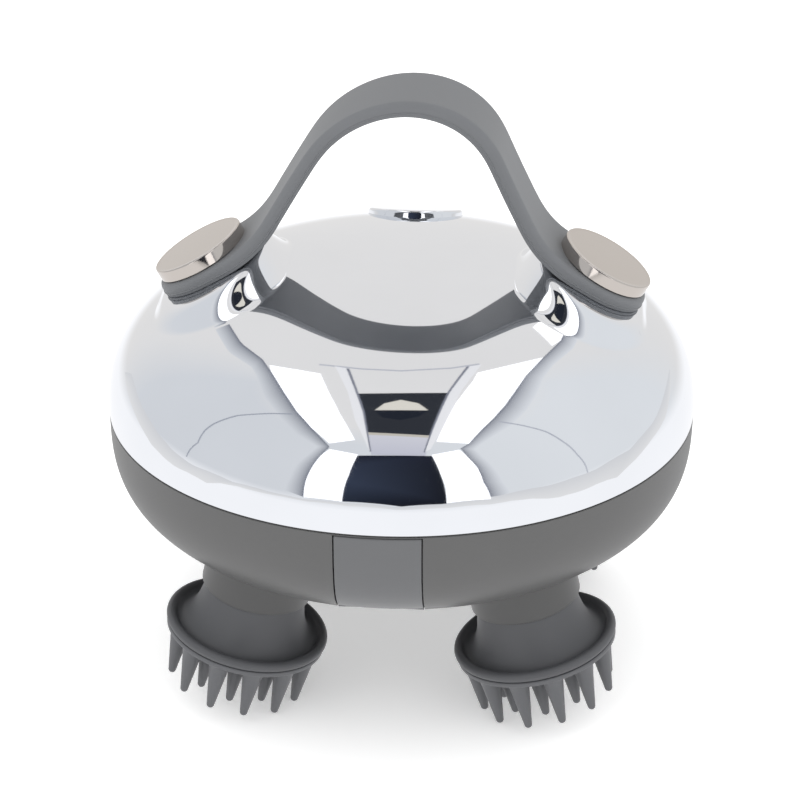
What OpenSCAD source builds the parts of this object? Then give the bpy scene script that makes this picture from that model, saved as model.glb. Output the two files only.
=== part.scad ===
// Electric scalp massager: a domed palm-held body with an arched finger strap, a power button and
// four kneading heads. +X runs along the strap, -Y is the side with the charging cover, +Y the side
// with the power button. The origin is on the table under the middle, at the lowest finger tips.

/* [Body] */
// Radius of the body at the seam between dome and casing
body_r = 56; // [54:0.5:60]
// Height of the chrome dome above the seam
dome_h = 28.1; // [27:0.1:30]
// Roundness of the dome outline, 2 is an ellipse
dome_n = 2.46; // [2.3:0.02:2.6]
// Depth at which the bowl outline of the casing would close, as a share of casing_depth
bowl_share = 1.3282; // [1.26:0.0002:1.4]
// Roundness of the bowl outline
bowl_n = 3.19; // [3:0.05:3.4]
// Depth of the flat underside below the seam
casing_depth = 19.5; // [19:0.1:20]
// Wall of the chrome dome
dome_wall = 2; // [1.8:0.1:2.2]
// Wall and floor of the lower casing
casing_wall = 2.2; // [2:0.1:2.4]
// Height of the seam gasket
gasket_h = 1.6; // [1.4:0.1:1.8]
// Depth of the light groove under the seam
seam_groove = 0.35; // [0.2:0.05:0.5]

/* [Kneading heads] */
// Half distance between the left and right crank axes
crank_x = 23.3; // [23:0.1:23.6]
// Outward lean of each head
head_tilt = 12.7; // [11:0.1:13]
// Height of the point about which a head rocks, above the underside
pivot_rise = 1; // [0.8:0.1:1.2]
// Radius of the ball at the top of a neck
ball_r = 10.9; // [10.8:0.05:11]
// Radius of the neck below the ball
neck_r = 10.4; // [10.2:0.1:10.6]
// Distance from the rocking point to the lower edge of the neck
neck_drop = 9.7; // [9.5:0.1:10]
// Wall of the neck
neck_wall = 1.9; // [1.7:0.1:2.1]
// Radius of the dish at its lip
dish_r = 15.55; // [15.2:0.05:15.8]
// Distance from the rocking point to the middle of the lip
dish_drop = 18.4; // [18.2:0.1:18.8]
// Radius of the rounded lip
lip_r = 0.95; // [0.85:0.05:1]
// Radius of the silicone finger plate
pad_r = 15.2; // [15:0.05:15.2]
// Thickness of the silicone finger plate
pad_t = 1.05; // [1:0.05:1.2]

/* [Silicone fingers] */
// Distance from the rocking point to the finger tips
tip_drop = 30.9; // [30:0.1:31.5]
// Radius of a finger at its root
finger_root_r = 2.05; // [1.9:0.05:2.15]
// Radius of the rounded tip of a finger
finger_tip_r = 0.75; // [0.7:0.05:0.8]
// Radius of the outer ring of fingers
outer_ring_r = 12.4; // [12.2:0.1:12.6]
// Fingers in the outer ring
outer_fingers = 12; // [10:1:12]
// Radius of the inner ring of fingers
inner_ring_r = 8.3; // [8:0.1:8.5]
// Fingers in the inner ring
inner_fingers = 8; // [6:1:8]

/* [Finger strap] */
// Height of the middle of the strap above the seam, at the top of the arch
strap_top = 61.3; // [60:0.1:63]
// Width of the strap
strap_w = 18; // [16:0.5:19]
// Thickness of the strap
strap_t = 2.8; // [2.6:0.1:3]
// Radius of the middle of the arch at its top
arch_r = 19.2; // [18.4:0.2:20]
// Slope of the straight legs of the arch
leg_slope = 62; // [60:0.5:64]
// Radius of the bend between a leg and its tongue
bend_r = 22; // [18:0.5:24]
// Radius of the round tongue under a stud cap
tongue_r = 9.9; // [9.5:0.1:10.2]
// Distance of the stud axes from the middle of the dome, on its surface
stud_rho = 35.3; // [35:0.1:35.6]
// Outward lean of the stud axes
stud_tilt = 29.3; // [28.5:0.1:30]
// Radius of a stud cap
cap_r = 9.15; // [8.8:0.05:9.4]
// Thickness of a stud cap
cap_t = 2.6; // [2.4:0.1:2.8]
// Height of the plated seat under the strap at the stud axis
wedge_t = 1.8; // [1.6:0.1:2]
// Radius of the plated seat at its top
wedge_r = 9.3; // [9:0.1:9.6]
// Flare of the plated seat down to the dome
wedge_flare = 4; // [3:0.5:5]
// Radius of the stud stem
stem_r = 2.5; // [2.3:0.1:2.7]
// Half width across the corners of a stud nut
nut_r = 4.6; // [4.5:0.1:4.8]
// Thickness of a stud nut
nut_t = 2.4; // [2.2:0.1:2.6]

/* [Power button] */
// Distance of the button axis from the middle of the dome, on its surface
button_rho = 36.5; // [36:0.1:37]
// Radius of the button cap
button_r = 9.5; // [9.2:0.1:9.8]
// Height of the button cap above the dome
button_proud = 0.8; // [0.6:0.1:1]
// Travel of the power button
button_travel = 0.5; // [0.4:0.05:0.6]
// Radius of the rubber plunger of the switch
plunger_r = 1.75; // [1.6:0.05:1.9]

/* [Gear train] */
// Tooth size of the head gears, as pitch diameter over teeth
head_module = 0.8; // [0.79:0.005:0.81]
// Teeth of the centre gear and of each head gear
head_teeth = 44; // [44:4:44]
// Teeth of the small wheel of the reduction gear
small_teeth = 16; // [16:1:16]
// Tooth size of the motor stage
motor_module = 0.5; // [0.49:0.005:0.51]
// Teeth of the large wheel of the reduction gear
large_teeth = 62; // [60:1:63]
// Teeth of the motor pinion
pinion_teeth = 10; // [10:1:11]
// Turn of the motor about the reduction axle
motor_turn = 26.4; // [24:0.2:28]
// Gap between the flanks of meshing teeth
backlash = 0.16; // [0.12:0.02:0.2]
// Thickness of the head gears
gear_t = 5.4; // [5:0.1:5.6]
// Thickness of the large wheel
large_t = 3; // [2.6:0.1:3.2]
// Thickness of a gearbox plate
plate_t = 2; // [1.8:0.1:2]
// Radius of the gearbox plates
plate_r = 42; // [41:0.5:42.5]

/* [Shafts] */
// Radius of a crank shaft
crank_r = 3; // [2.8:0.1:3.2]
// Radius of the leaning crank pin
pin_r = 2.5; // [2.3:0.1:2.6]
// Outer radius of a shaft bush
bush_r = 4.2; // [4:0.1:4.4]
// Radius of the centre axle
centre_axle_r = 2; // [1.8:0.1:2.2]
// Radius of the reduction axle
reduction_axle_r = 1.5; // [1.4:0.1:1.6]
// Radius of the motor shaft
motor_shaft_r = 1; // [0.9:0.05:1.1]

/* [Motor and battery] */
// Radius of the motor can
motor_r = 12.2; // [12:0.1:12.4]
// Height of the motor can
motor_h = 20; // [19:0.5:20.5]
// Wall of the motor can
can_wall = 1.2; // [1:0.1:1.4]
// Radius of the battery cell
cell_r = 9.15; // [9:0.05:9.2]
// Length of the battery cell
cell_l = 50; // [48:0.5:51]
// Radius of the insulated leads
lead_r = 0.6; // [0.5:0.05:0.7]

/* [Charging cover] */
// Width of the charging cover
cover_w = 15.4; // [15:0.1:16]
// Thickness of the charging cover
cover_t = 1.4; // [1.3:0.05:1.5]
// Gap round the charging cover
cover_gap = 0.2; // [0.15:0.05:0.25]
// Width of the charging socket
socket_w = 9; // [8.8:0.1:9.2]
// Height of the charging socket
socket_h = 3.2; // [3:0.1:3.4]

/* [Fits and fasteners] */
// Radial running clearance of shafts in their bores
running = 0.05; // [0.03:0.01:0.08]
// Clearance between pieces that slide past each other
slide_gap = 0.2; // [0.15:0.05:0.25]
// Shank radius of the casing screws
casing_screw_r = 1.4; // [1.3:0.05:1.5]
// Shank radius of the gearbox screws
gearbox_screw_r = 1.2; // [1.1:0.05:1.3]
// Shank radius of the board screws
board_screw_r = 0.9; // [0.8:0.05:1]

/* [Hidden] */
$fn = 96;
eps = 0.01;

chrome_col = "#d8dadd";
nickel_col = "#c9c4bd";
casing_col = "#707273";
strap_col = "#85878b";
dark_grey_col = "#4a4c50";
silicone_col = "#66696d";
plate_col = "#c2bfb4";
nylon_col = "#e9e4d4";
steel_col = "#b6b8bb";
brass_col = "#c9a552";
board_col = "#1f6b45";

// Pieces of the head train. Tooth heights are shares of the tooth size
tooth_rise = 0.8;
tooth_fall = 1.1;
pressure = 20;
head_gear_r = head_module * head_teeth / 2;
small_r = head_module * small_teeth / 2;
head_tip_r = head_gear_r + tooth_rise * head_module;
crank_distance = 2 * head_gear_r;
crank_y = sqrt(crank_distance * crank_distance - crank_x * crank_x);
finger_len = tip_drop - finger_tip_r;
first_finger = 180 / outer_fingers;
pivot_z = finger_len * cos(head_tilt)
    + outer_ring_r * cos(first_finger) * sin(head_tilt) + finger_tip_r;
seam_z = pivot_z + casing_depth - pivot_rise;
HEADS = [["fl", -1, -1], ["fr", 1, -1], ["bl", -1, 1], ["br", 1, 1]];

// Levels above and below the seam
bowl_h = bowl_share * casing_depth;
gear_gap = 0.2;
floor_top = -casing_depth + casing_wall;
lower_plate_z = -casing_depth + 6.5;
lower_plate_top = lower_plate_z + plate_t;
gear_z = lower_plate_top + gear_gap;
gear_top = gear_z + gear_t;
large_z = gear_top + gear_gap;
upper_plate_z = 0;
upper_plate_top = upper_plate_z + plate_t;
reduction_x = head_gear_r + small_r;
large_r = motor_module * large_teeth / 2;
pinion_r = motor_module * pinion_teeth / 2;
motor_stage = large_r + pinion_r;
motor_x = reduction_x - motor_stage * cos(motor_turn);
motor_y = motor_stage * sin(motor_turn);
shaft_out = upper_plate_top - large_z + 0.1;
plate_post_r = 3;
plate_tab_r = 4.2;
tab_root = 0.8;
post_y = body_r - 13;
plate_posts = [[-9, -post_y], [9, -post_y], [-9, post_y], [9, post_y]];
boss_r = 3.2;
boss_gap = 0.9;
boss_x = reduction_x + large_r + tooth_rise * motor_module + boss_gap + boss_r;
casing_bosses = [[-boss_x, 0], [boss_x, 0], [0, 18 - body_r]];
boss_top = -1;
screw_shelf = -12;
screw_head_r = 2.5;
screw_head_t = 1.8;
screw_grip = 8;
joint_gap = 0.02;
seam_step = 2.5;
gasket_t = 0.8;
rim_t = 1.4;
lip_wall = 2.2;
lip_r_out = body_r - rim_t - gasket_t;
seal_gap = 0.08;
seal_r = ball_r + 1.3;
seal_flange = 0.5;
cell_y = -22;
cell_lift = 1;
cell_z = upper_plate_top + cell_lift + cell_r;
board_drop = 9;
board_t = 1.6;
board_size = [34, 20];
board_hole_x = 14.3;
board_post_r = 2.2;
switch_side = 6;
switch_h = 3.4;
plunger_top = -4.6;
sleeve_r = 11.6;
sleeve_drop = 3;
flange_r = 10.9;
flange_t = 1.2;
socket_z = -8.2;
socket_depth = 6.4;
socket_wall_w = 20;
charge_board_y = 7.4 - body_r;
charge_board_t = 1.2;
cover_top = -0.7;
bung_gap = 1;
bung_depth = 1.8;
hinge_r = 0.5;
hinge_w = 0.9;
hinge_relief = 0.2;
stem_drop = 10;
cap_bevel = 0.3;
cap_seat = 0.1;
armature_r = 8.6;
pole_w = 10.8;
commutator_r = 3;
// Neck: top of the ball, hub and web, measured along the leaning axis
ball_top = 2.6;
hub_r = 5.2;
hub_top = 2;
web_base = 1.35;
web_top = 3;
pin_head_r = 3.8;
pin_head_t = 1;
spigot_h = 1.2;
core_r = 4.6;
nut_drop = 7;
stud_boss_r = 6.2;
motor_nose_r = 3.6;
motor_nose_h = 1.4;
motor_cap_h = 2;
motor_cap_grip = 1.5;
tag_x = [-4, 4];
tag_size = [1.6, 1.2];
tag_reach = 0.8;
magnet_r = 9;

function dome_z(r, R, H) = H * pow(1 - pow(r / R, dome_n), 1 / dome_n);
function dome_slope(r) = atan(dome_h / body_r * pow(r / body_r, dome_n - 1)
    / pow(dome_z(r, body_r, 1), dome_n - 1));
function bowl_r(z) = body_r * pow(1 - pow(max(-z, 0) / bowl_h, bowl_n), 1 / bowl_n);
function dome_outline(R, H) =
    [for (t = [0:3:90]) [R * pow(cos(t), 2 / dome_n), H * pow(sin(t), 2 / dome_n)]];
function bowl_outline(inset, bottom, steps = 26) =
    [for (i = [0:steps]) let (z = bottom * i / steps) [bowl_r(z) - inset, z]];

// Axis of the round edge on which the charging cover turns, level with the rear corners of the cover
hinge_z = hinge_r - casing_depth;
hinge_y = -sqrt(pow(bowl_r(hinge_z) - cover_t, 2) - pow(cover_w / 2, 2));

// The place of a head: its crank axis, its rocking point and its lean
module at_crank(side, depth) {
    translate([side * crank_x, depth * crank_y, 0]) children();
}
module at_head(side, depth) {
    translate([side * crank_x, depth * crank_y, pivot_z]) rotate([0, -side * head_tilt, 0]) children();
}
module at_seam() {
    translate([0, 0, seam_z]) children();
}
// The place of a stud: +Z is the outward stud axis, 0 is the surface of the dome
module at_stud(side) {
    translate([side * stud_rho, 0, dome_z(stud_rho, body_r, dome_h)]) rotate([0, side * stud_tilt, 0])
        children();
}
// The place of the power button: +Z is the outward button axis
module at_button() {
    translate([0, button_rho, dome_z(button_rho, body_r, dome_h)]) rotate([-dome_slope(button_rho), 0, 0])
        children();
}
module tube(outer, inner, height) {
    difference() {
        cylinder(r = outer, h = height);
        translate([0, 0, -eps]) cylinder(r = inner, h = height + 2 * eps);
    }
}
module slab(size, z) {
    translate([-size.x / 2, -size.y / 2, z]) cube([size.x, size.y, size.z]);
}

// Solid of the dome, down to the seam
module dome_solid(inset = 0) {
    rotate_extrude() polygon(concat([[0, 0]], dome_outline(body_r - inset, dome_h - inset)));
}

/* ---- casings ---- */
module top_cover() color(chrome_col) at_seam() difference() {
    union() {
        difference() {
            dome_solid();
            translate([0, 0, -eps]) dome_solid(dome_wall);
            // step for the gasket and the lip of the casing
            translate([0, 0, -eps]) cylinder(r = body_r - rim_t, h = seam_step + eps);
        }
        intersection() {
            dome_solid(dome_wall / 2);
            union() {
                for (p = casing_bosses) translate([p.x, p.y, seam_step]) cylinder(r = boss_r, h = dome_h);
                for (side = [-1, 1]) at_stud(side)
                    translate([0, 0, -nut_drop]) cylinder(r = stud_boss_r, h = nut_drop);
                at_button() translate([0, 0, -sleeve_drop]) cylinder(r = sleeve_r, h = 2 * sleeve_drop);
                for (side = [-1, 1]) at_button() translate([side * board_hole_x, 0, -board_drop])
                    cylinder(r = board_post_r, h = board_drop);
            }
        }
        for (p = casing_bosses) translate([p.x, p.y, boss_top])
            cylinder(r = boss_r, h = seam_step - boss_top + 1);
    }
    for (p = casing_bosses) translate([p.x, p.y, boss_top - eps])
        cylinder(r = casing_screw_r, h = screw_grip);
    for (side = [-1, 1]) at_stud(side) translate([0, 0, -nut_drop - 3])
        cylinder(r = stem_r, h = nut_drop + 8);
    at_button() translate([0, 0, -sleeve_drop - 3]) cylinder(r = button_r + slide_gap, h = sleeve_drop + 8);
    // room for the flange that keeps the button in
    at_button() translate([0, 0, -board_drop])
        cylinder(r = flange_r + slide_gap, h = board_drop - sleeve_drop);
    for (side = [-1, 1]) at_button()
        translate([side * board_hole_x, 0, -board_drop - eps]) cylinder(r = board_screw_r, h = 5);
}

// Slot in the casing behind the charging cover
module cover_slot(width, depth, top) {
    intersection() {
        rotate_extrude() polygon(concat(
            [[body_r + 1, -casing_depth - 1], [body_r + 1, top]],
            [for (i = [0:16]) let (z = top + (-casing_depth - top) * i / 16) [bowl_r(z) - depth, z]],
            [[bowl_r(-casing_depth) - depth, -casing_depth - 1]]));
        translate([-width / 2, -body_r - 2, -casing_depth - 2]) cube([width, body_r, casing_depth + 3]);
    }
}
// Bar along the foot of the charging cover, with the hinge axis in its round inner edge
module hinge_bar(width, r) {
    for (y = [hinge_y - hinge_w, hinge_y]) translate([-width / 2, y, hinge_z]) rotate([0, 90, 0])
        cylinder(r = r, h = width);
    translate([-width / 2, hinge_y - hinge_w, hinge_z - r]) cube([width, hinge_w, 2 * r]);
}
module lower_casing() color(casing_col) at_seam() difference() {
    union() {
        rotate_extrude() polygon(concat(
            [[body_r - seam_groove, 0], [body_r - seam_groove, -seam_groove]],
            [for (p = bowl_outline(0, -casing_depth)) if (p.y < -seam_groove) p],
            [[0, -casing_depth], [0, floor_top]],
            [for (i = [0:20]) let (z = floor_top * (1 - i / 20)) [bowl_r(z) - casing_wall, z]]));
        // lip that centres the dome
        translate([0, 0, -2]) tube(lip_r_out, lip_r_out - lip_wall, 2 + seam_step - 0.3);
        translate([0, 0, -2]) tube(body_r - casing_wall + 1, lip_r_out - lip_wall, 2);
        for (p = casing_bosses) translate([p.x, p.y, floor_top - eps])
            cylinder(r = boss_r, h = boss_top - floor_top + eps);
        for (p = plate_posts) translate([p.x, p.y, floor_top - eps])
            cylinder(r = plate_post_r, h = lower_plate_z - floor_top + eps);
        // flat wall that carries the charging socket
        intersection() {
            translate([-socket_wall_w / 2, -body_r, floor_top - eps])
                cube([socket_wall_w, body_r + charge_board_y, -floor_top - 1]);
            rotate_extrude()
                polygon(concat([[0, 0]], bowl_outline(casing_wall / 2, -casing_depth),
                    [[0, -casing_depth]]));
        }
    }
    for (p = casing_bosses) translate([p.x, p.y, 0]) {
        translate([0, 0, -casing_depth - 1]) cylinder(r = casing_screw_r + 0.2, h = casing_depth + 2);
        translate([0, 0, -casing_depth - 1])
            cylinder(r = screw_head_r + 0.2, h = casing_depth + 1 + screw_shelf);
    }
    for (p = plate_posts) translate([p.x, p.y, floor_top + 0.6]) cylinder(r = gearbox_screw_r, h = 10);
    // hollows in the wall beside the head gears
    for (h = HEADS) at_crank(h[1], h[2]) translate([0, 0, lower_plate_top])
        cylinder(r = head_tip_r + slide_gap, h = gear_top - lower_plate_top + gear_gap);
    for (h = HEADS) at_crank(h[1], h[2]) translate([0, 0, -casing_depth - 1])
        cylinder(r = seal_r, h = casing_wall + 2);
    cover_slot(cover_w + 2 * cover_gap, cover_t + cover_gap / 2, cover_top + cover_gap);
    // room for the hinge bar, open below
    hinge_bar(cover_w + 2 * cover_gap, hinge_r + hinge_relief);
    translate([-cover_w / 2 - cover_gap, hinge_y - hinge_w, hinge_z - 2])
        cube([cover_w + 2 * cover_gap, hinge_w + hinge_r + hinge_relief, 2]);
    translate([-socket_w / 2, -body_r - 1, socket_z - socket_h / 2]) cube([socket_w, 12, socket_h]);
}

module seam_gasket() color(dark_grey_col) at_seam()
    tube(body_r - rim_t, body_r - rim_t - gasket_t, gasket_h);

module casing_screws() color(steel_col) at_seam() for (p = casing_bosses)
translate([p.x, p.y, screw_shelf]) {
    difference() {
        translate([0, 0, -screw_head_t]) cylinder(r = screw_head_r, h = screw_head_t);
        // cross recess
        for (a = [0, 90]) rotate([0, 0, a]) slab([3, 0.7, 1], -screw_head_t - eps);
    }
    cylinder(r = casing_screw_r, h = boss_top - screw_shelf + screw_grip - 1);
}

module neck_seals() color(dark_grey_col) for (h = HEADS) at_crank(h[1], h[2]) difference() {
    translate([0, 0, seam_z - casing_depth]) {
        cylinder(r = seal_r, h = casing_wall);
        translate([0, 0, casing_wall]) cylinder(r = seal_r + 0.8, h = seal_flange);
    }
    translate([0, 0, pivot_z]) sphere(r = ball_r + seal_gap);
}

/* ---- finger strap ---- */
function tongue_point(s) = [stud_rho, dome_z(stud_rho, body_r, dome_h)]
    + (wedge_t + strap_t / 2) * [sin(stud_tilt), cos(stud_tilt)] + s * [cos(stud_tilt), -sin(stud_tilt)];
arch_c = [0, strap_top - arch_r];
leg_start = arch_c + arch_r * [sin(leg_slope), cos(leg_slope)];
leg_dir = [cos(leg_slope), -sin(leg_slope)];
tongue_dir = [cos(stud_tilt), -sin(stud_tilt)];
leg_gap = tongue_point(0) - leg_start;
// Length from the stud axis back to where the leg and the tongue lines cross
tongue_len = (leg_gap.y * leg_dir.x - leg_gap.x * leg_dir.y)
    / (tongue_dir.y * leg_dir.x - tongue_dir.x * leg_dir.y);
corner = tongue_point(-tongue_len);
bend_cut = bend_r * tan((leg_slope - stud_tilt) / 2);
bend_c = corner + bend_cut * tongue_dir + bend_r * [sin(stud_tilt), cos(stud_tilt)];
// Right half of the strap outline, offset from its middle line by k, out to the end of the tongue
function strap_half(k) = concat(
    [for (i = [0:16]) let (a = leg_slope * i / 16) arch_c + (arch_r + k) * [sin(a), cos(a)]],
    [for (i = [0:6]) let (a = leg_slope + (stud_tilt - leg_slope) * i / 6)
        bend_c - (bend_r - k) * [sin(a), cos(a)]],
    [tongue_point(tongue_r + 1) + k * [sin(stud_tilt), cos(stud_tilt)]]);
function mirrored(points) = [for (i = [len(points) - 1:-1:1]) [-points[i].x, points[i].y]];

module finger_strap() color(strap_col) at_seam() difference() {
    intersection() {
        rotate([90, 0, 0]) translate([0, 0, -tongue_r - 1]) linear_extrude(height = 2 * tongue_r + 2)
        polygon(concat(
            mirrored(strap_half(strap_t / 2)), strap_half(strap_t / 2),
            [for (i = [len(strap_half(0)) - 1:-1:0]) strap_half(-strap_t / 2)[i]],
            [for (p = strap_half(-strap_t / 2)) if (p.x > eps) [-p.x, p.y]]));
        union() {
            translate([-stud_rho, -strap_w / 2, 0]) cube([2 * stud_rho, strap_w, strap_top + strap_t]);
            for (side = [-1, 1]) at_stud(side) translate([0, 0, wedge_t - 1])
                cylinder(r = tongue_r, h = strap_t + 2);
        }
    }
    for (side = [-1, 1]) at_stud(side) {
        cylinder(r = stem_r, h = wedge_t + strap_t + 1);
        // seat of the stud cap in the foot of the bend
        translate([0, 0, wedge_t + strap_t]) cylinder(r = cap_r + cap_seat, h = tongue_r);
    }
}

// Seats that carry the strap ends at their slope, plated like the dome
module strap_wedges() color(chrome_col) at_seam() for (side = [-1, 1]) difference() {
    at_stud(side) translate([0, 0, -5]) cylinder(r1 = wedge_r + wedge_flare, r2 = wedge_r, h = 5 + wedge_t);
    dome_solid();
    at_stud(side) translate([0, 0, -6]) cylinder(r = stem_r, h = 12);
}

module stud_caps() color(nickel_col) at_seam() for (side = [-1, 1]) at_stud(side) {
    translate([0, 0, wedge_t + strap_t]) {
        cylinder(r = cap_r, h = cap_t - cap_bevel);
        translate([0, 0, cap_t - cap_bevel]) cylinder(r1 = cap_r, r2 = cap_r - cap_bevel, h = cap_bevel);
    }
    translate([0, 0, -stem_drop]) cylinder(r = stem_r, h = stem_drop + wedge_t + strap_t + eps);
}

module stud_nuts() color(steel_col) at_seam() for (side = [-1, 1]) at_stud(side)
    translate([0, 0, -nut_drop - nut_t]) difference() {
        cylinder(r = nut_r, h = nut_t, $fn = 6);
        translate([0, 0, -eps]) cylinder(r = stem_r, h = nut_t + 1);
    }

/* ---- power button and control board ---- */
module power_button() color(chrome_col) at_seam() at_button() {
    flange_top = -sleeve_drop - running;
    rotate_extrude() polygon(concat(
        [[0, plunger_top + 1.8], [button_r - 1.4, plunger_top + 1.8],
         [button_r - 1.4, flange_top - flange_t], [flange_r, flange_top - flange_t], [flange_r, flange_top], [button_r, flange_top]],
        [for (a = [0:15:90]) [button_r - 0.6 + 0.6 * cos(a), button_proud - 0.6 + 0.6 * sin(a)]],
        [[0, button_proud]]));
    translate([0, 0, plunger_top]) cylinder(r = 2.5, h = 2);
}

module switch_plunger() color(dark_grey_col) at_seam() at_button()
    translate([0, 0, plunger_top - 2]) cylinder(r = plunger_r, h = 2);

module switch_body() color(steel_col) at_seam() at_button() difference() {
    slab([switch_side, switch_side, switch_h], -board_drop);
    translate([0, 0, plunger_top - 2 - button_travel - 0.1]) cylinder(r = plunger_r + running, h = 4);
}

module control_board() color(board_col) at_seam() at_button() difference() {
    slab([board_size.x, board_size.y, board_t], -board_drop - board_t);
    for (side = [-1, 1]) translate([side * board_hole_x, 0, -board_drop - board_t - 1])
        cylinder(r = board_screw_r, h = board_t + 2);
}

module board_chips() color(dark_grey_col) at_seam() at_button() translate([0, 0, -board_drop - board_t]) {
    translate([-6, 3, 0]) slab([7, 5, 1.4], -1.4);
    translate([5, -4, 0]) slab([4, 4, 1.1], -1.1);
    translate([6, 4, -4.5]) cylinder(r = 2, h = 4.5);
    translate([-4, -6, 0]) slab([7.6, 3, 3.4], -3.4);
}

module board_screws() color(steel_col) at_seam() at_button() for (side = [-1, 1])
    translate([side * board_hole_x, 0, -board_drop - board_t]) {
        translate([0, 0, -1.2]) cylinder(r = 1.8, h = 1.2);
        cylinder(r = board_screw_r, h = board_t + 4);
    }

/* ---- charging cover and socket ---- */
module charging_cover() color(strap_col) at_seam() {
    difference() {
        intersection() {
            cover_slot(cover_w, cover_t, cover_top);
            rotate_extrude() polygon(concat([[0, 0]], bowl_outline(0, -casing_depth), [[0, -casing_depth]]));
        }
        translate([-cover_w, hinge_y, hinge_z - 2]) cube([2 * cover_w, 5, 2]);
    }
    hinge_bar(cover_w, hinge_r);
    // bung that fills the mouth of the socket
    intersection() {
        translate([0, 0, socket_z]) rotate([90, 0, 0])
            slab([socket_w - 2 * bung_gap, socket_h - 2 * bung_gap, body_r], 0);
        difference() {
            cover_slot(cover_w, cover_t + bung_depth, cover_top);
            cover_slot(cover_w + 1, cover_t / 2, cover_top + 1);
        }
    }
}

module charging_socket() color(nickel_col) at_seam() translate([0, charge_board_y, socket_z]) difference() {
    translate([-socket_w / 2, -socket_depth + 2, -socket_h / 2])
        cube([socket_w, socket_depth - 2, socket_h]);
    translate([-socket_w / 2 + 0.4, -socket_depth + 1, -socket_h / 2 + 0.4])
        cube([socket_w - 0.8, socket_depth - 2, socket_h - 0.8]);
}

module charging_board() color(board_col) at_seam()
    translate([-8.5, charge_board_y, -15]) cube([17, charge_board_t, 12]);

/* ---- gears ---- */
// Point on an involute that starts at radius rb, unrolled by t degrees
function involute(rb, t) = rb * [cos(t) + t * PI / 180 * sin(t), sin(t) - t * PI / 180 * cos(t)];
function turned(p, a) = [p.x * cos(a) - p.y * sin(a), p.x * sin(a) + p.y * cos(a)];
function unroll(rb, r) = r > rb ? sqrt(r * r / (rb * rb) - 1) * 180 / PI : 0;
// Outline of a wheel with one tooth in the middle of +X
module wheel(teeth, m) {
    rp = m * teeth / 2;
    rb = rp * cos(pressure);
    ra = rp + tooth_rise * m;
    rf = rp - tooth_fall * m;
    flank_turn = tan(pressure) * 180 / PI - pressure;
    half = 90 / teeth - backlash / 2 / rp * 180 / PI + flank_turn;
    start = unroll(rb, max(rf, rb));
    end = unroll(rb, ra);
    flank = [for (i = [0:3]) turned(involute(rb, start + (end - start) * i / 3), -half)];
    tooth = concat([turned([rf, 0], -half)], flank,
        [for (i = [3:-1:0]) [flank[i].x, -flank[i].y]], [turned([rf, 0], half)]);
    polygon([for (k = [0:teeth - 1]) for (p = tooth) turned(p, k * 360 / teeth)]);
}
// Turn that puts a wheel in mesh with another, from the other's turn, the direction from the other to
// this one, and both tooth counts
function mesh_turn(other_turn, toward, other_teeth, teeth) =
    toward + 180 - other_teeth / teeth * (other_turn - toward) + 180 / teeth;

small_turn = mesh_turn(0, 0, head_teeth, small_teeth);
pinion_turn = mesh_turn(small_turn, 180 - motor_turn, large_teeth, pinion_teeth);
function head_turn(side, depth) =
    mesh_turn(0, atan2(depth * crank_y, side * crank_x), head_teeth, head_teeth);
// Hub of a wheel, that just clears both plates
module hub(r) {
    translate([0, 0, lower_plate_top + running])
        cylinder(r = r, h = upper_plate_z - lower_plate_top - 2 * running);
}

module centre_gear() color(nylon_col) at_seam() difference() {
    union() {
        translate([0, 0, gear_z]) linear_extrude(height = gear_t) wheel(head_teeth, head_module);
        hub(4);
    }
    translate([0, 0, lower_plate_z]) cylinder(r = centre_axle_r + running, h = 20);
    for (a = [30:60:330]) rotate([0, 0, a]) translate([10, 0, gear_z - 1]) cylinder(r = 3, h = gear_t + 2);
}
module centre_axle() color(steel_col) at_seam()
    translate([0, 0, lower_plate_z]) cylinder(r = centre_axle_r, h = upper_plate_top - lower_plate_z);

module reduction_gear() color(nylon_col) at_seam() translate([reduction_x, 0, 0]) difference() {
    union() {
        rotate([0, 0, small_turn]) translate([0, 0, gear_z]) linear_extrude(height = large_z - gear_z + eps)
            wheel(small_teeth, head_module);
        rotate([0, 0, small_turn]) translate([0, 0, large_z]) linear_extrude(height = large_t)
            wheel(large_teeth, motor_module);
        hub(3.4);
    }
    translate([0, 0, lower_plate_z]) cylinder(r = reduction_axle_r + running, h = 20);
    for (a = [0:60:300]) rotate([0, 0, a]) translate([10.4, 0, large_z - 1])
        cylinder(r = 2.6, h = large_t + 2);
}
module reduction_axle() color(steel_col) at_seam() translate([reduction_x, 0, lower_plate_z])
    cylinder(r = reduction_axle_r, h = upper_plate_top - lower_plate_z);

module head_gear(side, depth) color(nylon_col) at_seam() at_crank(side, depth) difference() {
    union() {
        rotate([0, 0, head_turn(side, depth)]) translate([0, 0, gear_z]) linear_extrude(height = gear_t)
            wheel(head_teeth, head_module);
        hub(5);
    }
    translate([0, 0, lower_plate_z]) cylinder(r = crank_r, h = 20);
    for (a = [0:60:300]) rotate([0, 0, a]) translate([10.6, 0, gear_z - 1]) cylinder(r = 3, h = gear_t + 2);
}

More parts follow.
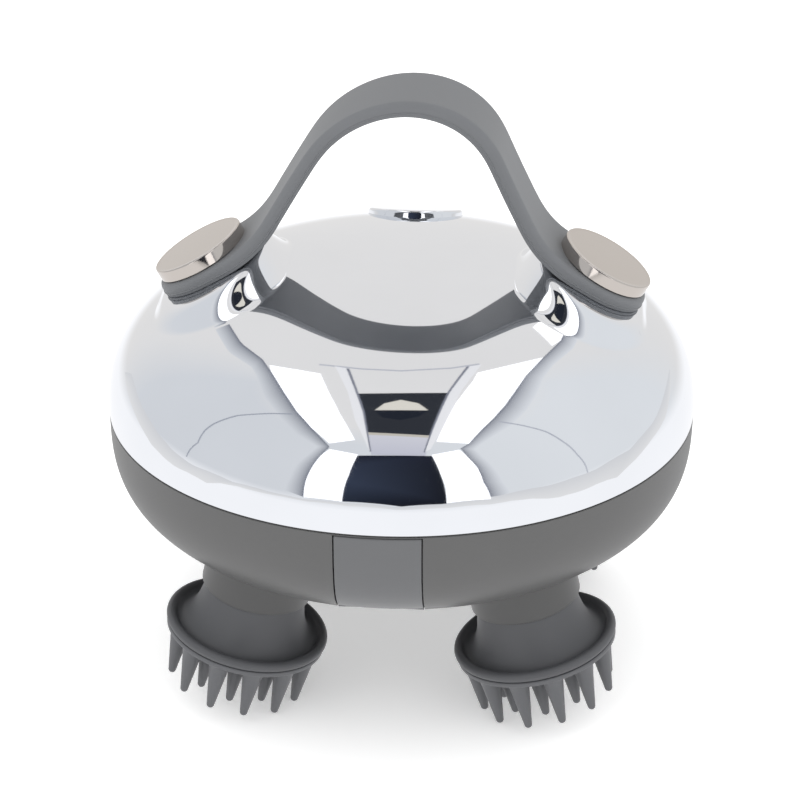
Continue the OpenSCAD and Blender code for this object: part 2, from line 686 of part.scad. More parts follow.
// Vertical shaft with a thrust flange and, below it, the leaning pin that the head turns on
module crank_shaft(side, depth) color(steel_col) difference() {
    head_base = -neck_drop + web_base - running - pin_head_t;
    union() {
        at_seam() at_crank(side, depth) {
            translate([0, 0, lower_plate_z - 1])
                cylinder(r = crank_r, h = upper_plate_top - lower_plate_z + 1);
            translate([0, 0, lower_plate_z - running - 1.5]) cylinder(r = 4.4, h = 1.5);
        }
        at_head(side, depth) {
            translate([0, 0, head_base + pin_head_t - eps]) cylinder(r = pin_r, h = neck_drop + 2.9);
            translate([0, 0, head_base]) cylinder(r = pin_head_r, h = pin_head_t);
        }
    }
    // cross recess of the pin head
    at_head(side, depth) translate([0, 0, head_base - eps])
        for (a = [0, 90]) rotate([0, 0, a]) slab([3.6, 0.8, 0.6], 0);
}

// Ball and collar of a head, with a hub that turns on the crank pin
module neck(side, depth) color(casing_col) at_head(side, depth) {
    inner = neck_r - neck_wall;
    low = -asin(sqrt(ball_r * ball_r - neck_r * neck_r) / ball_r);
    high = asin(ball_top / ball_r);
    web = -neck_drop + web_base;
    rotate_extrude() polygon(concat(
        [[inner, -neck_drop], [neck_r - 0.3, -neck_drop], [neck_r, -neck_drop + 0.4]],
        [for (i = [0:14]) let (a = low + (high - low) * i / 14) ball_r * [cos(a), sin(a)]],
        [[inner, ball_top], [inner, -neck_drop + web_top], [hub_r, -neck_drop + web_top], [hub_r, hub_top],
         [pin_r + running, hub_top], [pin_r + running, web], [inner, web]]));
}

module dish(side, depth) color(dark_grey_col) at_head(side, depth) {
    lip_x = dish_r - lip_r;
    base = -dish_drop - lip_r;
    top = -neck_drop;
    fall = -dish_drop - top;
    waist_r = neck_r - 0.9;
    rotate_extrude() polygon(concat(
        [[core_r, base], [lip_x, base]],
        [for (a = [-90:15:150]) [lip_x + lip_r * cos(a), -dish_drop + lip_r * sin(a)]],
        // hollow flare from the lip up to the neck
        [for (i = [0:10]) let (t = 1 - i / 10)
            [waist_r + (lip_x - lip_r - waist_r) * pow(t, 1.7), top + (fall + 0.2) * pow(t, 0.85)]],
        [[neck_r - neck_wall, top], [neck_r - neck_wall, top + spigot_h], [core_r + 1.8, top + spigot_h],
         [core_r, top]]));
}

module finger() {
    cylinder(r1 = finger_tip_r, r2 = finger_root_r, h = finger_len - dish_drop - lip_r - pad_t + 0.2);
    sphere(r = finger_tip_r);
}
module finger_pad(side, depth) color(silicone_col) at_head(side, depth) {
    translate([0, 0, -dish_drop - lip_r - pad_t]) cylinder(r = pad_r, h = pad_t);
    translate([0, 0, -dish_drop - lip_r - eps]) cylinder(r = core_r, h = 2);
    translate([0, 0, -finger_len]) {
        for (i = [0:outer_fingers - 1]) rotate([0, 0, first_finger + i * 360 / outer_fingers])
            translate([outer_ring_r, 0, 0]) finger();
        for (i = [0:inner_fingers - 1]) rotate([0, 0, 90 + i * 360 / inner_fingers])
            translate([inner_ring_r, 0, 0]) finger();
        finger();
    }
}

/* ---- gearbox plates ---- */
module plate_outline() difference() {
    union() {
        circle(r = plate_r);
        // arms that reach out to the posts
        for (p = plate_posts) {
            translate(p) circle(r = plate_tab_r);
            rotate([0, 0, atan2(p.y, p.x)]) translate([tab_root * norm(p), -plate_tab_r])
                square([(1 - tab_root) * norm(p), 2 * plate_tab_r]);
        }
    }
    for (p = casing_bosses) translate([p.x, p.y]) circle(r = boss_r + 0.6);
    for (p = plate_posts) translate([p.x, p.y]) circle(r = gearbox_screw_r);
    for (h = HEADS) translate([h[1] * crank_x, h[2] * crank_y]) circle(r = bush_r);
    circle(r = centre_axle_r);
    translate([reduction_x, 0]) circle(r = reduction_axle_r);
}
module lower_gear_plate() color(plate_col) at_seam() translate([0, 0, lower_plate_z])
    linear_extrude(height = plate_t) plate_outline();
module upper_gear_plate() color(plate_col) at_seam() {
    translate([0, 0, upper_plate_z]) linear_extrude(height = plate_t) difference() {
        plate_outline();
        translate([motor_x, motor_y]) circle(r = motor_nose_r);
    }
    for (p = plate_posts) translate([p.x, p.y, lower_plate_top])
        tube(plate_post_r, gearbox_screw_r, upper_plate_z - lower_plate_top + eps);
}
module gearbox_screws() color(steel_col) at_seam() for (p = plate_posts) translate([p.x, p.y, 0]) {
    translate([0, 0, upper_plate_top]) cylinder(r = 2.3, h = 1.5);
    translate([0, 0, floor_top + 1])
        cylinder(r = gearbox_screw_r, h = upper_plate_top - floor_top - 1 + eps);
}
module shaft_bushes() color(brass_col) at_seam() for (h = HEADS) for (z = [lower_plate_z, upper_plate_z])
    at_crank(h[1], h[2]) translate([0, 0, z]) tube(bush_r, crank_r + running, plate_t);

/* ---- motor ---- */
module at_motor() at_seam() translate([motor_x, motor_y, upper_plate_top]) children();
module motor_can() color(steel_col) at_motor() {
    difference() {
        cylinder(r = motor_r, h = motor_h - motor_cap_h);
        translate([0, 0, can_wall]) cylinder(r = motor_r - can_wall, h = motor_h);
        translate([0, 0, -1]) cylinder(r = motor_shaft_r + running, h = 4);
    }
    translate([0, 0, -motor_nose_h]) tube(motor_nose_r, motor_shaft_r + running, motor_nose_h + eps);
}
module motor_end_cap() color(dark_grey_col) at_motor() difference() {
    translate([0, 0, motor_h - motor_cap_h]) {
        cylinder(r = motor_r, h = motor_cap_h);
        translate([0, 0, -motor_cap_grip]) cylinder(r = motor_r - can_wall, h = motor_cap_grip + eps);
        // solder tags
        for (x = tag_x) translate([x - tag_size.x / 2, 0, motor_cap_h / 2 - tag_size.y / 2])
            cube([tag_size.x, motor_r + tag_reach, tag_size.y]);
    }
    translate([0, 0, motor_h - 5]) cylinder(r = motor_shaft_r + running, h = 4);
}
module motor_magnets() color(dark_grey_col) at_motor() for (a = [0, 180]) rotate([0, 0, a]) intersection() {
    translate([0, 0, can_wall]) tube(motor_r - can_wall - joint_gap, magnet_r,
        motor_h - motor_cap_h - can_wall - motor_cap_grip);
    translate([0, -8, 0]) cube([motor_r, 16, motor_h]);
}
module motor_armature() color(brass_col) at_motor() difference() {
    translate([0, 0, can_wall + 1]) {
        linear_extrude(height = motor_h - can_wall - 8) intersection() {
            circle(r = armature_r);
            for (a = [0:120:240]) rotate([0, 0, a]) translate([0, -pole_w / 2])
                square([armature_r + 1, pole_w]);
        }
        // commutator
        cylinder(r = commutator_r, h = motor_h - can_wall - 5.2);
    }
    translate([0, 0, -1]) cylinder(r = motor_shaft_r, h = motor_h + 2);
}
module motor_shaft() color(steel_col) at_motor() translate([0, 0, -shaft_out])
    cylinder(r = motor_shaft_r, h = shaft_out + motor_h - 1.2);
module motor_pinion() color(brass_col) at_seam() translate([motor_x, motor_y, large_z])
    rotate([0, 0, pinion_turn]) difference() {
        linear_extrude(height = large_t) wheel(pinion_teeth, motor_module);
        translate([0, 0, -1]) cylinder(r = motor_shaft_r, h = large_t + 2);
    }

/* ---- battery and leads ---- */
module battery_cell() color("#3f7fb0") at_seam()
translate([-cell_l / 2, cell_y, cell_z]) rotate([0, 90, 0]) {
    cylinder(r = cell_r, h = cell_l - 1);
    translate([0, 0, cell_l - 1 - eps]) cylinder(r = 3, h = 1);
}
module battery_cradle() color(plate_col) at_seam() difference() {
    translate([-cell_l / 2 - 1.2, cell_y - cell_r - 0.4, upper_plate_top])
        cube([cell_l + 2.4, 2 * cell_r + 0.8, cell_lift + 6]);
    translate([-cell_l / 2, cell_y, cell_z]) rotate([0, 90, 0]) cylinder(r = cell_r + joint_gap, h = cell_l);
}
// Tube along a route, as rings of 8 points that turn with it
module lead(route) {
    sides = 8;
    n = len(route);
    dirs = [for (i = [0:n - 1]) let (d = route[min(i + 1, n - 1)] - route[max(i - 1, 0)]) d / norm(d)];
    rings = [for (i = [0:n - 1])
        let (u0 = cross(dirs[i], [1, 0.15, 0.1]), u = u0 / norm(u0), v = cross(dirs[i], u))
        for (k = [0:sides - 1]) route[i] + lead_r * (cos(k * 360 / sides) * u + sin(k * 360 / sides) * v)];
    polyhedron(points = rings, faces = concat(
        [[for (k = [0:sides - 1]) k]],
        [for (i = [0:n - 2]) for (k = [0:sides - 1]) let (q = (k + 1) % sides)
            [i * sides + q, i * sides + k, (i + 1) * sides + k, (i + 1) * sides + q]],
        [[for (k = [sides - 1:-1:0]) (n - 1) * sides + k]]));
}
// Point of the board, x and y along it and up above its upper face
function on_board(x, y, up) = let (s = dome_slope(button_rho))
    [x, button_rho, dome_z(button_rho, body_r, dome_h)]
    + y * [0, cos(s), -sin(s)] + (up - board_drop) * [0, sin(s), cos(s)];
// Routes of the leads, chosen so that they rest on the motor, the cell, the plate and the board
tag_y = motor_y + motor_r + tag_reach;
tag_z = upper_plate_top + motor_h - motor_cap_h / 2;
lead_rest = upper_plate_top + lead_r;
cell_end = -cell_l / 2;
function motor_route(x) = [[x, tag_y + joint_gap, tag_z], [x, tag_y + 0.8, tag_z],
    [x, tag_y + 2, tag_z - 0.2], on_board(x, -10.2, 2.6), on_board(x, -8.6, 1.3), on_board(x, -8.6, joint_gap)];
battery_route = [[cell_end - joint_gap, cell_y, cell_z], [cell_end - 1.2, cell_y, cell_z],
    [cell_end - 2.6, cell_y + 0.4, cell_z - 1.4], [cell_end - 3.5, -20.5, 7], [cell_end - 3.5, -17, 3],
    [cell_end - 3.5, -12, lead_rest], [cell_end - 3.5, 0, lead_rest], [cell_end - 2, 10, lead_rest],
    [-23, 17, 3.2], [-17, 22, 9], on_board(-12, -8, -board_t - 1.5),
    on_board(-12, -8, -board_t - joint_gap)];
module motor_leads() color("#b23a32") at_seam() for (x = tag_x) lead(motor_route(motor_x + x));
module battery_leads() color("#333333") at_seam() lead(battery_route);

top_cover();
lower_casing();
seam_gasket();
casing_screws();
neck_seals();
finger_strap();
strap_wedges();
stud_caps();
stud_nuts();
power_button();
switch_plunger();
switch_body();
control_board();
board_chips();
board_screws();
charging_cover();
charging_socket();
charging_board();
lower_gear_plate();
upper_gear_plate();
gearbox_screws();
shaft_bushes();
motor_can();
motor_end_cap();
motor_magnets();
motor_armature();
motor_shaft();
motor_pinion();
reduction_gear();
reduction_axle();
centre_gear();
centre_axle();
battery_cell();
battery_cradle();
motor_leads();
battery_leads();
for (h = HEADS) {
    head_gear(h[1], h[2]);
    crank_shaft(h[1], h[2]);
    neck(h[1], h[2]);
    dish(h[1], h[2]);
    finger_pad(h[1], h[2]);
}
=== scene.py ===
import math

import bmesh
import bpy
import numpy as np
from mathutils import Matrix, Vector
from mathutils.geometry import tessellate_polygon


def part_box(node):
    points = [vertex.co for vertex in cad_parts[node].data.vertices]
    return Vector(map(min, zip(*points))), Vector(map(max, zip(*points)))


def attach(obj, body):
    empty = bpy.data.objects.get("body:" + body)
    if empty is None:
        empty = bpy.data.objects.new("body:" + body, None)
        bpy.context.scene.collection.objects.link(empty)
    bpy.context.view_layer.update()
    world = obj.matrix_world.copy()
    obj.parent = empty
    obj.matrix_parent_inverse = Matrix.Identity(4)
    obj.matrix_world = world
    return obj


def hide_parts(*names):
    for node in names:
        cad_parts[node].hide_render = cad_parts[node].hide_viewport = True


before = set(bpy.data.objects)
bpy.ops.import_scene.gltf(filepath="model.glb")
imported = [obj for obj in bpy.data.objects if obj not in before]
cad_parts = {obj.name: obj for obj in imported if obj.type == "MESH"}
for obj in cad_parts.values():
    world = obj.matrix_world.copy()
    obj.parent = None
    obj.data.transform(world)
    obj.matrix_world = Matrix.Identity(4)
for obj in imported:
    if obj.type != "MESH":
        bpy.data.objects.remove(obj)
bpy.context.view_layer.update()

# ---- Lower casing --------------------------------------------------------------------------------
# Bowl of grey ABS with a fine spark-eroded texture, open at the top where a thin lip centres the
# dome. A recess at the front takes the charging cover, and its flat floor has four round openings
# for the neck seals and three wells for the casing screws, which are cut after it is formed.
MM = 0.001
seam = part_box("seam_gasket")[0].z / MM
body_radius = 56.0
bowl_reach, bowl_power = 25.9, 3.19
floor_depth, casing_wall = 19.5, 2.2
recess_half, recess_depth, recess_top = 7.9, 1.5, -0.5
head_places = [("fl", -1, -1), ("fr", 1, -1), ("bl", -1, 1), ("br", 1, 1)]
crank_x, crank_y = 23.3, 26.3847
seal_radius = 12.2
screw_places = [(-44, 0), (44, 0), (0, -38)]
well_radius = 2.7


def tone(red, green, blue):
    """Linear colour of an sRGB one given in 0 to 255: ((c + 0.055) / 1.055) to the power 2.4."""
    c = (np.array([red, green, blue]) / 255 + 0.055) / 1.055
    return tuple(c**2.4) + (1.0,)


def bowl_radius(z):
    """Radius of the bowl at height z below the seam: R (1 - (-z / reach)^n)^(1 / n)."""
    return body_radius * (1 - (np.maximum(-z, 0) / bowl_reach) ** bowl_power) ** (1 / bowl_power)


def arc(x, y, radius, start, end, steps):
    """Points (x + r cos a, y + r sin a) for angles a from start to end, in degrees."""
    a = np.radians(np.linspace(start, end, steps))
    return np.stack([x + radius * np.cos(a), y + radius * np.sin(a)], -1)


def turned(profile, steps):
    """Surface of revolution about Z of (radius, height) pairs: x = r cos a, y = r sin a, z = h."""
    r, h = np.asarray(profile, float).T
    a = np.arange(steps) * 2 * math.pi / steps
    return np.stack([np.outer(r, np.cos(a)), np.outer(r, np.sin(a)), np.outer(h, np.ones(steps))], -1)


def patch(grid, loop=False):
    """Vertices and quads of a grid of points [row, column]. The last column joins the first, and the
    last row joins the first where loop is set."""
    rows, columns = grid.shape[:2]
    index = np.arange(rows * columns).reshape(rows, columns)
    index = np.concatenate([index, index[:, :1]], 1)
    if loop:
        index = np.concatenate([index, index[:1]])
    quads = np.stack([index[:-1, :-1], index[:-1, 1:], index[1:, 1:], index[1:, :-1]], -1)
    return grid.reshape(-1, 3), quads.reshape(-1, 4)


def piece(name, patches, crease=35.0):
    """One object from patches in millimetres: points that fall together are merged, so that poles and
    seams close, faces are turned outwards, and edges sharper than crease degrees stay sharp."""
    starts = np.cumsum([0] + [len(p) for p, q in patches])
    points = np.concatenate([p for p, q in patches]) * MM
    quads = np.concatenate([q + s for (p, q), s in zip(patches, starts)])
    mesh = bpy.data.meshes.new(name)
    mesh.from_pydata(points.tolist(), [], quads.tolist())
    work = bmesh.new()
    work.from_mesh(mesh)
    bmesh.ops.remove_doubles(work, verts=work.verts, dist=2e-7)
    bmesh.ops.recalc_face_normals(work, faces=work.faces)
    work.to_mesh(mesh)
    work.free()
    mesh.shade_smooth()
    mesh.set_sharp_from_angle(angle=math.radians(crease))
    made = bpy.data.objects.new(name, mesh)
    bpy.context.scene.collection.objects.link(made)
    return made


def moulding(name, colour, shine, grain, depth, drift=0.05, lint=0.0, metal=0.0, coat=0.0):
    """Finish of a moulded, plated or machined piece. Colour and roughness drift by the share drift on
    a slow noise, the bump is a fine noise of grain cells a metre and depth metres deep, and lint is
    the share of cells that hold one small bright speck."""
    made = bpy.data.materials.new(name)
    made.use_nodes = True
    tree = made.node_tree
    tree.nodes.clear()

    def give(socket, value):
        if isinstance(value, bpy.types.NodeSocket):
            tree.links.new(value, socket)
        else:
            socket.default_value = value

    def add(kind, **values):
        node = tree.nodes.new(kind)
        for key, value in values.items():
            give(node.inputs[key], value)
        return node

    def compute(operation, first, second):
        node = tree.nodes.new("ShaderNodeMath")
        node.operation = operation
        give(node.inputs[0], first)
        give(node.inputs[1], second)
        return node.outputs[0]

    place = tree.nodes.new("ShaderNodeTexCoord").outputs["Object"]
    slow = add("ShaderNodeTexNoise", Vector=place, Scale=70.0, Detail=3.0)
    fine = add("ShaderNodeTexNoise", Vector=place, Scale=grain, Detail=4.0, Roughness=0.6)
    ramp = tree.nodes.new("ShaderNodeValToRGB")
    tree.links.new(slow.outputs["Fac"], ramp.inputs["Fac"])
    ramp.color_ramp.elements[0].position, ramp.color_ramp.elements[1].position = 0.3, 0.7
    ramp.color_ramp.elements[0].color = tuple(c * (1 - drift) for c in colour[:3]) + (1.0,)
    ramp.color_ramp.elements[1].color = tuple(min(c * (1 + drift), 1.0) for c in colour[:3]) + (1.0,)
    shade = ramp.outputs["Color"]
    rough = add("ShaderNodeMapRange", Value=slow.outputs["Fac"])
    rough.inputs["From Min"].default_value, rough.inputs["From Max"].default_value = 0.3, 0.7
    rough.inputs["To Min"].default_value = shine * (1 - 2 * drift)
    rough.inputs["To Max"].default_value = shine * (1 + 2 * drift)
    if lint:
        cells = add("ShaderNodeTexVoronoi", Vector=place, Scale=260.0)
        chosen = compute("GREATER_THAN", cells.outputs["Color"], 1 - lint)
        near = compute("LESS_THAN", cells.outputs["Distance"], 0.05)
        speck = tree.nodes.new("ShaderNodeMix")
        speck.data_type = "RGBA"
        give(speck.inputs["Factor"], compute("MULTIPLY", chosen, near))
        give(speck.inputs[6], shade)
        give(speck.inputs[7], tone(176, 176, 174))
        shade = speck.outputs[2]
    bump = add("ShaderNodeBump", Height=fine.outputs["Fac"], Strength=1.0, Distance=depth)
    surface = add(
        "ShaderNodeBsdfPrincipled",
        Metallic=metal,
        Roughness=rough.outputs["Result"],
        Normal=bump.outputs["Normal"],
    )
    surface.inputs["Coat Weight"].default_value = coat
    tree.links.new(shade, surface.inputs["Base Color"])
    out = tree.nodes.new("ShaderNodeOutputMaterial")
    tree.links.new(surface.outputs["BSDF"], out.inputs["Surface"])
    return made


def casing_ring(radius, height, recess):
    """Plan outline of the bowl at one height: a circle of that radius with a flat-sided recess of half
    width recess_half at -Y, whose floor follows the circle recess millimetres further in."""
    corner = min(0.12, recess / 4)
    x = np.linspace(-recess_half, recess_half, 13)
    floor = np.stack([x, recess - np.sqrt(radius**2 - x**2)], -1)
    rim_y = -math.sqrt(radius**2 - recess_half**2)
    side = np.array([[recess_half, rim_y + recess * k] for k in (0.99, 0.5)])
    lip = arc(recess_half + corner, rim_y + corner, corner, 180, 270, 5)
    start = math.asin((recess_half + corner) / radius)
    a = np.linspace(start, 2 * math.pi - start, 441) - math.pi / 2
    round_way = radius * np.stack([np.cos(a), np.sin(a)], -1)
    mirror = np.array([-1, 1])
    plan = np.concatenate([floor, side, lip, round_way[1:-1], lip[::-1] * mirror, side[::-1] * mirror])
    return np.column_stack([plan, np.full(len(plan), height)])


lip_outer, lip_inner, lip_top = 53.8, 51.6, 2.2
groove, edge_round, flat_radius = 0.35, 0.6, 45.0
base_edge = -floor_depth + edge_round
inner_floor = -floor_depth + casing_wall
rows = [(flat_radius, inner_floor, 0)]
rows += [(float(bowl_radius(z)) - casing_wall, z, 0) for z in np.linspace(inner_floor, -2, 24)]
rows += [(lip_inner, -2, 0), (lip_inner, lip_top, 0), (lip_outer, lip_top, 0), (lip_outer, 0, 0)]
rows += [(body_radius - groove, 0, 0), (body_radius - groove, -groove, 0), (body_radius - 0.12, -groove, 0)]
rows += [(body_radius, -groove - 0.1, 0), (float(bowl_radius(recess_top)), recess_top, 0)]
rows += [(float(bowl_radius(z)), z, recess_depth) for z in np.linspace(recess_top, base_edge, 56)]
rows += [(float(bowl_radius(base_edge)) - edge_round * (1 - math.cos(t)) - 0.35 * t,
          base_edge - edge_round * math.sin(t), recess_depth) for t in np.radians(np.arange(15, 91, 15))]
rows += [(flat_radius, -floor_depth, 0)]
rings = np.stack([casing_ring(*row) for row in rows])
poles = [np.repeat([[[0, 0, z]]], rings.shape[1], 1) for z in (inner_floor, -floor_depth)]
casing_crease = 28.0
casing_grid = np.concatenate([poles[0], rings, poles[1]]) + [0, 0, seam]
casing = piece("casing_bowl", [patch(casing_grid)], crease=casing_crease)

well_shelf, well_wall = -12.0, 0.5
plug = [[0, -floor_depth - 1], [1, -floor_depth - 1], [1, inner_floor + 1], [0, inner_floor + 1]]
holes = [(sx * crank_x, sy * crank_y, seal_radius, 96) for _, sx, sy in head_places]
holes += [(x, y, well_radius, 40) for x, y in screw_places]
plugs = [patch(turned([[r * k, z] for k, z in plug], steps) + [x, y, seam]) for x, y, r, steps in holes]
mouth_half, mouth_rise, socket_level = 4.5, 1.6, -8.2
mouth_corners = [(mouth_half * x, mouth_rise * z) for x, z in ((-1, -1), (1, -1), (1, 1), (-1, 1))]
mouth = np.array([[[x, y, z] for x, z in mouth_corners] for y in (-56, -52)])
mouth_ends = [np.repeat(row.mean(0)[None, None], 4, 1) for row in mouth]
mouth_box = np.concatenate([mouth_ends[0], mouth, mouth_ends[1]]) + [0, 0, seam + socket_level]
hinge_y, hinge_z, relief = -46.36, -19.0, 0.7
groove_line = np.concatenate([[[hinge_y - 1.6, -21.5], [hinge_y + relief, -21.5]],
                              arc(hinge_y, hinge_z, relief, 0, 90, 7), [[hinge_y - 1.6, hinge_z + relief]]])
groove_half = 7.85
groove_rows = np.stack([np.column_stack([np.full(len(groove_line), x), groove_line + [0, seam]])
                        for x in (-groove_half, groove_half)])
groove_ends = [np.repeat(row.mean(0)[None, None], len(groove_line), 1) for row in groove_rows]
hinge_groove = np.concatenate([groove_ends[0], groove_rows, groove_ends[1]])
cutter = piece("casing_cutter", plugs + [patch(mouth_box), patch(hinge_groove)])
opening = casing.modifiers.new("openings", "BOOLEAN")
opening.object, opening.solver = cutter, "EXACT"
bpy.context.view_layer.update()
cut = bpy.data.meshes.new_from_object(casing.evaluated_get(bpy.context.evaluated_depsgraph_get()))
casing.modifiers.clear()
casing.data = cut
bpy.data.objects.remove(cutter)
cut.set_sharp_from_angle(angle=math.radians(casing_crease))

well_outside, shelf_top, screw_hole = well_radius + well_wall, well_shelf + 1, 1.6
well = [[well_radius, inner_floor], [well_outside, inner_floor], [well_outside, shelf_top],
        [screw_hole, shelf_top], [screw_hole, well_shelf], [well_radius, well_shelf]]
wells = piece("screw_wells", [patch(turned(well, 40) + [x, y, seam], loop=True) for x, y in screw_places])

casing_grey = moulding("casing_abs", tone(86, 86, 86), 0.42, 2600.0, 6e-6, drift=0.02, lint=0.004)
for part in (casing, wells):
    part.data.materials.append(casing_grey)
    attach(part, "housing")
    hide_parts("lower_casing")

# ---- Neck seals ----------------------------------------------------------------------------------
# Soft rubber rings pressed into the four floor openings. Each is hollowed to the ball of its neck.
def dress(finish, *names):
    """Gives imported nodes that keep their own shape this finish."""
    for name in names:
        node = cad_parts[name]
        node.data.materials.clear()
        node.data.materials.append(finish)


rubber = moulding("seal_rubber", tone(58, 60, 63), 0.6, 1800.0, 8e-6)
dress(rubber, "neck_seals", "seam_gasket")

# ---- Gear train ----------------------------------------------------------------------------------
# Two moulded plates on four posts carry brass-coloured bushes, nylon wheels on ground steel axles,
# and four steel crank shafts whose lower ends lean outwards. Long screws hold the plates down.
heads = [tag for tag, _, _ in head_places]
nylon = moulding("gear_nylon", tone(233, 228, 212), 0.38, 900.0, 1.2e-5, drift=0.03)
ground_steel = moulding("shaft_steel", tone(188, 190, 193), 0.22, 5200.0, 2e-6, metal=1.0)
plate_plastic = moulding("plate_plastic", tone(196, 192, 180), 0.5, 1500.0, 1e-5)
bronze = moulding("bush_bronze", tone(186, 142, 84), 0.34, 3600.0, 4e-6, metal=1.0)
zinc = moulding("screw_zinc", tone(176, 178, 182), 0.3, 4200.0, 3e-6, metal=1.0)
dress(nylon, "centre_gear", "reduction_gear", *["head_gear_" + h for h in heads])
dress(ground_steel, "centre_axle", "reduction_axle", *["crank_shaft_" + h for h in heads])
dress(plate_plastic, "lower_gear_plate", "upper_gear_plate")
dress(bronze, "shaft_bushes")
dress(zinc, "gearbox_screws")

# ---- Motor ---------------------------------------------------------------------------------------
# Small direct-current motor: drawn steel can with two ferrite magnets, wound three-pole armature,
# moulded end cap, and a brass pinion pressed on its shaft.
dress(moulding("can_steel", tone(170, 172, 175), 0.26, 3000.0, 4e-6, metal=1.0), "motor_can")
dress(moulding("end_cap_plastic", tone(54, 55, 58), 0.5, 1700.0, 1e-5), "motor_end_cap")
dress(moulding("ferrite", tone(44, 43, 45), 0.72, 2400.0, 1.5e-5), "motor_magnets")
dress(moulding("copper_winding", tone(184, 112, 70), 0.32, 2800.0, 3e-5, metal=1.0), "motor_armature")
dress(moulding("pinion_brass", tone(202, 168, 92), 0.28, 3600.0, 4e-6, metal=1.0), "motor_pinion")
dress(ground_steel, "motor_shaft")

# ---- Battery and leads ---------------------------------------------------------------------------
# Sleeved lithium cell in a moulded cradle. Thin insulated leads join the cell and the motor to the
# control board.
dress(moulding("cell_sleeve", tone(66, 122, 168), 0.3, 1200.0, 8e-6, coat=0.3), "battery_cell")
dress(plate_plastic, "battery_cradle")
lead_radius = 0.6


def bent_tube(route, radius, sides=12, between=6):
    """Round tube along a smooth curve through the route. Between two points p1 and p2 with neighbours
    p0 and p3 the curve is the Catmull-Rom cubic; rings stand square to it, the ends close to a point."""
    route = np.asarray(route, float)
    held = np.concatenate([[2 * route[0] - route[1]], route, [2 * route[-1] - route[-2]]])
    t = (np.arange(between) / between)[None, :, None]
    p0, p1, p2, p3 = (held[k : len(held) - 3 + k][:, None] for k in range(4))
    curve = 0.5 * (2 * p1 + (p2 - p0) * t + (2 * p0 - 5 * p1 + 4 * p2 - p3) * t**2
                   + (3 * p1 - p0 - 3 * p2 + p3) * t**3)
    line = np.concatenate([curve.reshape(-1, 3), route[-1:]])
    along = np.gradient(line, axis=0)
    along /= np.linalg.norm(along, axis=1)[:, None]
    side = np.cross(along, [1, 0.15, 0.1])
    side /= np.linalg.norm(side, axis=1)[:, None]
    over = np.cross(along, side)
    a = np.arange(sides) * 2 * math.pi / sides
    ring = np.cos(a)[None, :, None] * side[:, None] + np.sin(a)[None, :, None] * over[:, None]
    tube = line[:, None] + radius * ring
    ends = [np.repeat(line[k][None, None], sides, 1) for k in (0, -1)]
    return np.concatenate([ends[0], tube, ends[1]])


board_lean, board_middle = math.radians(19.111), (36.5, 23.602)


def on_board(x, y, up):
    """Point at (x, y) on the leant control board, up millimetres over its copper face."""
    c, s = math.cos(board_lean), math.sin(board_lean)
    return [x, board_middle[0] + y * c + (up - 9) * s, board_middle[1] - y * s + (up - 9) * c]


battery_route = [[-25.02, -22, 12.15], [-26.2, -22, 12.15], [-27.6, -21.6, 10.75], [-28.5, -20.5, 7],
                 [-28.5, -17, 3], [-28.5, -12, 2.6], [-28.5, 0, 2.6], [-27, 10, 2.6],
                 [-23, 17, 3.2], [-17, 22, 9],
                 on_board(-12, -8, -3.1), on_board(-12, -8, -1.62)]
motor_wires = []
for x in (3.877, 11.877):
    route = [[x, 21.023, 21], [x, 21.8, 21], [x, 23, 20.8],
             on_board(x, -10.2, 2.6), on_board(x, -8.6, 1.3), on_board(x, -8.6, 0.02)]
    motor_wires.append(patch(bent_tube(np.add(route, [0, 0, seam]), lead_radius)))
motor_leads = piece("motor_wires", motor_wires)
battery_lead = piece("battery_wire", [patch(bent_tube(np.add(battery_route, [0, 0, seam]), lead_radius))])
for part, node, finish, colour in (
    (motor_leads, "motor_leads", "lead_red", tone(178, 58, 50)),
    (battery_lead, "battery_leads", "lead_black", tone(51, 51, 51)),
):
    part.data.materials.append(moulding(finish, colour, 0.4, 1500.0, 6e-6))
    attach(part, "housing")
    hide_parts(node)

# ---- Kneading heads ------------------------------------------------------------------------------
# Each head is a moulded neck with a ball on top that rocks in its seal, a dish-shaped flange of
# darker soft-touch plastic, and a silicone plate with 21 tapered fingers clipped under it.
rocking_height = seam - floor_depth + 1.0
head_lean = math.radians(12.7)
ball_radius, neck_radius, neck_edge, neck_inside = 10.9, 10.4, -9.7, 8.5
lip_centre, lip_radius, lip_height = 14.6, 0.95, -18.4
plate_radius, plate_top, plate_base = 15.2, -19.4, -20.4
finger_root, finger_tip, tip_height = 2.05, 0.75, -30.9


def leant(grid, side, depth):
    """Points of an upright head placed at its rocking point and leant outwards about Y:
    x = x cos b - z sin b, z = x sin b + z cos b, where b is side times head_lean."""
    c, s = math.cos(head_lean), -side * math.sin(head_lean)
    x, y, z = np.moveaxis(grid, -1, 0)
    x, z = x * c + z * s, -x * s + z * c
    return np.stack([x + side * crank_x, y + depth * crank_y, z + rocking_height], -1)


def bezier(points, steps):
    """Cubic Bezier curve of four points: (1-t)^3 a + 3 (1-t)^2 t b + 3 (1-t) t^2 c + t^3 d."""
    t = np.linspace(0, 1, steps)[:, None]
    a, b, c, d = np.asarray(points, float)
    return (1 - t) ** 3 * a + 3 * (1 - t) ** 2 * t * b + 3 * (1 - t) * t**2 * c + t**3 * d


